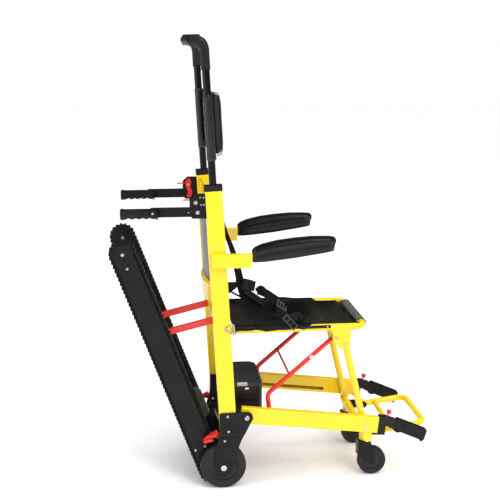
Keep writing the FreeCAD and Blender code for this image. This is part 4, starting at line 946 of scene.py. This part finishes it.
def seat_sling():
    """Coated cloth hung between the seat tubes and wrapped over them, loose at the rear."""
    lines = []
    for v in spread(0, 1, 84):
        line = [cloth_over_tube(RIGHT, turn, v) for turn in spread(1, 0, 14)[:-1]]
        line += [cloth_between(u, v) for u in spread(-1, 1, 54)]
        line += [cloth_over_tube(LEFT, turn, v) for turn in spread(0, 1, 14)[1:]]
        lines.append(line)
    sheet = make("sling_cloth", *patch(lines), SLING, "seat", sharp=180.0)
    add_modifier(sheet, "SOLIDIFY", thickness=0.0014, offset=0.0)
    add_modifier(sheet, "SUBSURF", levels=1, render_levels=1)
    apply_modifiers(sheet)
    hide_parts("seat_sling")
    rear_hem = [cloth_between(u, 0.0) for u in spread(-0.97, 0.97, 40)]
    sweep("sling_hem_rear", rear_hem, Z, 0.0034, 0.0024, SLING, "seat", count=10)
    for label, v in (("rear", 0.035), ("front", 0.925)):
        line = [cloth_between(u, v) + Z * 0.0012 for u in spread(-0.94, 0.94, 60)]
        sweep(f"sling_stitch_{label}", line, Z, 0.0007, 0.0004, BLACK_PLASTIC, "seat", count=6)
    for side, name in SIDES:
        line = [cloth_between(side * 0.93, v) + Z * 0.0011 for v in spread(0.04, 0.94, 60)]
        sweep(f"sling_seam_{name}", line, Z, 0.0009, 0.0005, BLACK_PLASTIC, "seat", count=6)


def sling_trim():
    """The grey strip over the front tube with its piping, the side rails and the rear rings."""
    front = high("seat_frame").x
    tube_x = front - TUBE_RADIUS
    half = SEAT_TUBE_OUT - 0.046
    reach = TUBE_RADIUS + 0.0030
    axis = Vector((tube_x, 0, SEAT_TUBE_Z))
    section = [axis + Vector((-0.021, 0, 0.0095)), axis + Vector((-0.011, 0, 0.0130))]
    for angle in (95, 70, 45, 20, 0, -20):
        turn = math.radians(angle)
        section.append(axis + Vector((math.cos(turn), 0, math.sin(turn))) * reach)
    lines = []
    own = []
    for y in spread(-half, half, 36):
        dip = 0.0045 * (1 - (y / half) ** 2)
        drops = (dip, dip * 0.4) + (0.0,) * (len(section) - 2)
        lines.append([point + Y * y - Z * drop for point, drop in zip(section, drops)])
        along = 0.0
        for k, point in enumerate(section):
            along += (point - section[k - 1]).length if k else 0.0
            own.append((along, y))
    strip = make("sling_front_strip", *patch(lines), GREY_WEBBING, "seat", 180.0, own)
    add_modifier(strip, "SOLIDIFY", thickness=0.0022, offset=0.0)
    apply_modifiers(strip)
    for label, k, lift in (("rear", 0, 0.001), ("front", -1, 0.0)):
        edge = [line[k] + Z * lift for line in lines]
        sweep(f"sling_front_piping_{label}", edge, X, 0.0021, 0.0021, SLING, "seat", count=10)
    for side, name in SIDES:
        rail_y = side * (SEAT_TUBE_OUT + TUBE_RADIUS + 0.0009)
        centre = Vector((layout(0.323, 0, 0).x, rail_y, SEAT_TUBE_Z + 0.0055))
        rounded_slab(f"sling_rail_{name}", centre, (X, Z, Y), (0.108, 0.011, 0.0016), 0.003, BLACK_PLASTIC,
                     "seat", 0.0004)
        turned(f"sling_rail_rivet_{name}", centre + X * 0.042 + Y * (side * 0.0007), Y * side,
               [(0, 0.0030), (0.0004, 0.0030), (0.0008, 0.0022), (0.0009, 0.0008)], STEEL, "seat", 16)
        ring(name, side)


def ring(name, side):
    """A bent-wire triangle beside the post's foot, with the web that ties the seat's rear corner to it."""
    y = side * (POST_SIDE + 0.0030)
    nose = layout(0.002, 0, 0).x
    corners = [Vector((nose, y, SEAT_TUBE_Z + 0.018)), Vector((nose + 0.034, y, SEAT_TUBE_Z + 0.036)),
               Vector((nose + 0.038, y, SEAT_TUBE_Z - 0.006))]
    loop = []
    for i, corner in enumerate(corners):
        after = corners[(i + 1) % 3]
        loop += [corner.lerp(after, 0.12), corner.lerp(after, 0.5), corner.lerp(after, 0.88)]
    loop.append(loop[0])
    sweep(f"corner_ring_{name}", smooth_path(loop, 4), Y, 0.0022, 0.0022, STEEL, "base", count=10)
    web_z = SEAT_TUBE_Z + 0.012
    web = [Vector((nose + 0.038, y, web_z)), Vector((nose + 0.043, side * (POST_SIDE - 0.010), web_z)),
           Vector((nose + 0.044, side * (SEAT_TUBE_OUT + 0.015), web_z))]
    strap(f"corner_web_{name}", web, Z, 0.030, SLING, "base", 0.002, 5)


# ---------------- harness


def harness():
    """A four-point harness lying loose: shoulder straps, lap straps, a buckle and its adjusters."""
    near = -0.060
    sight = Vector((0.25, -0.93, 0.26))
    shoulder = trail((0.004, 0.945, near), (0.020, 0.905, near), (0.032, 0.862, near),
                (0.050, 0.812, near), (0.064, 0.760, near), (0.076, 0.705, near))
    first = strap("harness_shoulder_right", shoulder, Y, 0.034, WEBBING, "base", turn=-0.9)
    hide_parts("harness")
    second = [p + Vector((0.009, 0.120, -0.012)) for p in shoulder]
    strap("harness_shoulder_left", second, Y, 0.034, WEBBING, "base", turn=-0.7)
    third = trail((0.014, 0.925, near - 0.05), (0.036, 0.850, near - 0.04), (0.060, 0.770, near - 0.02),
             (0.082, 0.715, near), (0.096, 0.690, near))
    strap("harness_pull", third, Y, 0.020, WEBBING, "base", turn=-0.6)
    drop = trail((0.074, 0.712, near), (0.082, 0.675, near), (0.094, 0.642, near),
            (0.120, 0.622, near), (0.156, 0.612, near), (0.206, 0.596, near + 0.004))
    strap("harness_lap_under", drop, sight.cross(Z), 0.030, WEBBING, "base")
    web = trail((0.022, 0.690, near - 0.055), (0.044, 0.691, near - 0.03), (0.068, 0.692, near))
    strap("harness_web", web, Z, 0.050, WEBBING, "base", taper=0.35)
    along = Vector((0.82, 0, -0.18)).normalized()
    side_release("harness_buckle", layout(0.104, 0.689, near - 0.004), along, sight, 0.040)
    slope = Vector((0.82, 0, -0.57)).normalized()
    facing = sight.cross(slope)
    sleeve = trail((0.090, 0.672, near - 0.012), (0.124, 0.648, near - 0.012),
              (0.160, 0.622, near - 0.012))
    strap("harness_sleeve", sleeve, facing, 0.024, WEBBING, "base", 0.005)
    for i, lift in enumerate((-0.005, 0.005)):
        edge = [p + facing.normalized() * lift + sight * 0.004 for p in sleeve]
        sweep(f"harness_sleeve_stitch_{i}", edge, Y, 0.0008, 0.0008, GREY_WEBBING, "base", count=6)
    lap = trail((0.140, 0.668, near), (0.168, 0.656, near), (0.200, 0.634, near),
           (0.232, 0.611, near))
    strap("harness_lap", lap, facing, 0.030, WEBBING, "base", 0.0026)
    fold = trail((0.134, 0.664, near + 0.006), (0.150, 0.676, near + 0.004), (0.166, 0.664, near))
    strap("harness_lap_fold", fold, facing, 0.026, WEBBING, "base", 0.0026)
    ladder("harness_ladder", layout(0.222, 0.614, near - 0.018), slope, Z + sight * 0.5, 0.034, 0.042,
           GREY_PLASTIC)
    loop = trail((0.240, 0.600, near - 0.012), (0.262, 0.612, near - 0.024), (0.286, 0.616, near - 0.042),
            (0.303, 0.602, near - 0.062), (0.302, 0.587, near - 0.084), (0.286, 0.582, near - 0.106),
            (0.262, 0.592, near - 0.124))
    strap("harness_loop", loop, sight.cross(X), 0.040, WEBBING, "base", 0.0026, steps=9)
    keeper = trail((0.262, 0.628, near - 0.02), (0.284, 0.632, near - 0.03), (0.306, 0.622, near - 0.045),
              (0.317, 0.604, near - 0.06))
    strap("harness_keeper", keeper, Y, 0.022, WEBBING, "base", 0.0026, steps=8, turn=0.5)
    hang = Vector((0.68, -0.06, -0.73)).normalized()
    ladder("harness_tip", layout(0.233, 0.588, -0.205), hang, sight, 0.019, 0.060, DARK_PLASTIC)
    tail = trail((0.270, 0.592, near - 0.118), (0.256, 0.597, -0.190), (0.240, 0.588, -0.1995),
            (0.252, 0.574, -0.2005))
    strap("harness_tail", tail, hang.cross(sight), 0.020, WEBBING, "base", 0.0026)
    rear = trail((0.030, 0.640, 0.130), (0.080, 0.610, 0.120), (0.140, 0.585, 0.100),
            (0.205, 0.573, 0.070), (0.262, 0.571, 0.030))
    strap("harness_lap_left", rear, Y, 0.036, WEBBING, "base")


def flatten_harness():
    """Give every harness piece a mesh of its own."""
    for obj in list(bpy.data.objects):
        if obj.name.startswith("harness_"):
            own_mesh(obj)


def plates(name, centre, along, normal, parts, material, edge):
    """Rounded plates about a centre: parts holds label, shift along, shift across, size and corner."""
    across = normal.cross(along).normalized()
    axes = (along, across, along.cross(across))
    for label, forward, sideways, size, corner in parts:
        place = centre + along * forward + across * sideways
        rounded_slab(f"{name}_{label}", place, axes, size, corner, material, "base", edge)


def side_release(name, centre, along, normal, width):
    """A side-release buckle: a socket, two sprung arms and the tongue between them."""
    parts = (("socket", -0.009, 0.0, (0.030, width, 0.013), 0.007),
             ("tongue", 0.011, 0.0, (0.018, width * 0.62, 0.010), 0.003),
             ("arm_a", 0.006, 0.40 * width, (0.018, 0.007, 0.010), 0.003),
             ("arm_b", 0.006, -0.40 * width, (0.018, 0.007, 0.010), 0.003),
             ("bar", 0.020, 0.0, (0.010, width * 0.9, 0.010), 0.0035))
    plates(name, centre, along, normal, parts, BLACK_PLASTIC, 0.0018)


def ladder(name, centre, along, normal, width, length, material):
    """A ladder adjuster: bars between two side rails."""
    parts = [(f"rail_{label}", 0.0, side * width / 2, (length, 0.0045, 0.0055), 0.002) for side, label in SIDES]
    parts += [(f"bar_{i}", shift * length, 0.0, (0.0045, width, 0.0048), 0.002)
              for i, shift in enumerate((-0.44, -0.15, 0.15, 0.44))]
    plates(name, centre, along, normal, parts, material, 0.001)


# ---------------- small fittings


def screws_on(node, prefix, body, radius_share=0.92):
    """A button-head socket screw over each turned solid of a CAD node that faces outwards."""
    for i, (lowest, highest) in enumerate(islands(node)):
        size = highest - lowest
        if abs(size.x - size.z) > 0.0015 or size.x > 0.022 or size.x < 0.006:
            continue
        centre = (lowest + highest) / 2
        side = 1 if centre.y > 0 else -1
        face = highest.y if side > 0 else lowest.y
        radius = size.x / 2 * radius_share
        socket_head(f"{prefix}_{i}", Vector((centre.x, face - side * 0.0002, centre.z)), Y * side, radius, body)


def battery_trim():
    """A blank light label and ribs on the battery case."""
    case_low = low("battery_case")
    case_high = high("battery_case")
    x = case_low.x + 0.030
    y = case_low.y - 0.0004
    label = Vector((x + 0.012, y, case_high.z + 0.0100))
    rounded_slab("battery_label", label, (X, Z, Y), (0.036, 0.0135, 0.0008),
                 0.0012, BLANK_LABEL, "base", 0.0002)
    for i in range(3):
        rounded_slab(f"battery_rib_{i}", Vector(((case_low.x + case_high.x) / 2, y + 0.0002, case_low.z + 0.030
                                                 + 0.022 * i)), (X, Z, Y),
                     ((case_high.x - case_low.x) * 0.7, 0.003, 0.0012), 0.0012, BATTERY_PLASTIC, "base", 0.0004)


def gusset_screws():
    """Button-head screws on the outer faces of the seat gussets."""
    for side, name in SIDES:
        y = side * high("seat_gussets").y
        for i, (x, z) in enumerate(((0.398, 0.524), (0.430, 0.499))):
            centre = layout(x, z, y) + Y * (side * 0.0001)
            socket_head(f"gusset_screw_{name}_{i}", centre, Y * side, 0.0048, "seat")


def track_rims():
    """The turned rim along the edge of each track's outer plate."""
    for side, name in SIDES:
        plate_low = low(f"track_plates_{name}")
        plate_high = high(f"track_plates_{name}")
        y = plate_high.y if side == LEFT else plate_low.y
        drive = low("drive_shaft").lerp(high("drive_shaft"), 0.5)
        idler = low("idler_pulleys").lerp(high("idler_pulleys"), 0.5)
        up = Vector((idler.x - drive.x, 0, idler.z - drive.z)).normalized()
        ahead = Vector((up.z, 0, -up.x))
        radius = 0.0348
        path = []
        for centre, start in ((idler, 0), (drive, 180)):
            for step in range(13):
                a = math.radians(start + step * 15)
                spot = centre + ahead * (radius * math.cos(a)) + up * (radius * math.sin(a))
                path.append(Vector((spot.x, y, spot.z)))
        path.append(path[0])
        sweep(f"track_rim_{name}", path, Y, 0.0013, 0.0013, BLACK_COAT, "tracks", count=8)


def crease_shade_lines():
    """A thin dark bead along the crease where each side plate steps outwards over its wheel: painted shade of
    the groove.
    """
    for side, name in SIDES:
        y = high("side_plates").y if side == LEFT else low("side_plates").y
        path = [layout(x, 0.1855, y) for x in (-0.014, 0.026, 0.064)]
        # Dark bead laid in the crease as painted shade.
        sweep(f"plate_crease_{name}", path, Y, 0.0006, 0.0011, BATTERY_PLASTIC, "base", count=6,
              slot="black_plastic")


def stay_rings():
    """The light washers at the pin of each stay."""
    for side, name in SIDES:
        y = side * 0.155
        centre = layout(0.3165, 0.449, y) + Y * (side * 0.0078)
        profile = [(0.0, 0.0075), (0.0004, 0.0088), (0.0016, 0.0088), (0.002, 0.008), (0.002, 0.0046),
                   (0.0004, 0.0042)]
        turned(f"stay_ring_{name}", centre, Y * side, profile, STEEL, "stays", 28)


# ---------------- stage, light and camera


def stage():
    """A wide, pale, flat floor."""
    bpy.ops.mesh.primitive_plane_add(size=40.0, location=(0, 0, -0.0006))
    floor = bpy.context.object
    floor.name = "studio_floor"
    floor.data.materials.append(pale_floor())


def area_light(name, place, aim, size, power, seen_in_gloss=True):
    data = bpy.data.lights.new(name, "AREA")
    data.shape = "RECTANGLE"
    data.size = size[0]
    data.size_y = size[1]
    data.energy = power
    obj = bpy.data.objects.new(name, data)
    obj.location = place
    obj.rotation_euler = (Vector(aim) - Vector(place)).to_track_quat("-Z", "Y").to_euler()
    obj.visible_glossy = seen_in_gloss
    bpy.context.scene.collection.objects.link(obj)


def sky():
    """White where the camera looks past the floor, softer as a light and darker in reflections."""
    world = bpy.data.worlds.new("studio")
    world.use_nodes = True
    tree = world.node_tree
    background = tree.nodes["Background"]
    background.inputs["Color"].default_value = (1, 1, 1, 1)
    path = tree.nodes.new("ShaderNodeLightPath")
    soft = tree.nodes.new("ShaderNodeMapRange")
    soft.inputs["To Min"].default_value = 0.45
    soft.inputs["To Max"].default_value = 0.10
    tree.links.new(path.outputs["Is Glossy Ray"], soft.inputs["Value"])
    strength = tree.nodes.new("ShaderNodeMapRange")
    strength.inputs["To Max"].default_value = 1.0
    tree.links.new(soft.outputs["Result"], strength.inputs["To Min"])
    tree.links.new(path.outputs["Is Camera Ray"], strength.inputs["Value"])
    tree.links.new(strength.outputs["Result"], background.inputs["Strength"])
    bpy.context.scene.world = world


def lights():
    """A key light, two lights from behind and a wide, soft sun, all aimed at the chair's middle."""
    chest = (0.1, 0, 0.8)
    area_light("key_light", (1.4, -3.4, 3.2), chest, (1.3, 2.2), 66)
    area_light("rim_light", (-3.4, -1.6, 2.0), chest, (0.9, 2.4), 40)
    area_light("back_light", (0.6, 3.4, 2.6), chest, (2.6, 2.0), 26, False)
    data = bpy.data.lights.new("soft_sun", "SUN")
    data.energy = 2.15
    data.angle = math.radians(70)
    sun = bpy.data.objects.new("soft_sun", data)
    sun.rotation_euler = (math.radians(16), math.radians(10), 0)
    sun.visible_glossy = False
    bpy.context.scene.collection.objects.link(sun)
    sky()


LENS = 75.5
LOOK_DOWN = math.radians(11.53)
LOOK_AHEAD = math.radians(6.554)
CAMERA_PLACE = layout(-0.29935, 1.54776, -3.63392)


def camera():
    """A long view from the chair's right, a little behind and above it, fitted to the photograph."""
    data = bpy.data.cameras.new("camera")
    data.lens = LENS
    data.sensor_width = 36.0
    data.sensor_fit = "HORIZONTAL"
    data.clip_start = 0.1
    data.clip_end = 60.0
    obj = bpy.data.objects.new("camera", data)
    level = math.cos(LOOK_DOWN)
    view = Vector((math.sin(LOOK_AHEAD) * level, math.cos(LOOK_AHEAD) * level, -math.sin(LOOK_DOWN)))
    obj.location = CAMERA_PLACE
    obj.rotation_euler = view.to_track_quat("-Z", "Y").to_euler()
    bpy.context.scene.collection.objects.link(obj)
    bpy.context.scene.camera = obj


# ---------------- build


camera()
lights()
stage()
dress_cad_nodes()
headrest()
push_handle()
backrest()
armrests()
rear_handles()
seat_sling()
sling_trim()
harness()
flatten_harness()
battery_trim()
stay_rings()
gusset_screws()
track_rims()
crease_shade_lines()
screws_on("frame_bolts", "frame_screw", "base")
screws_on("track_bolts", "track_screw", "tracks")

bpy.context.scene.view_settings.view_transform = "Standard"
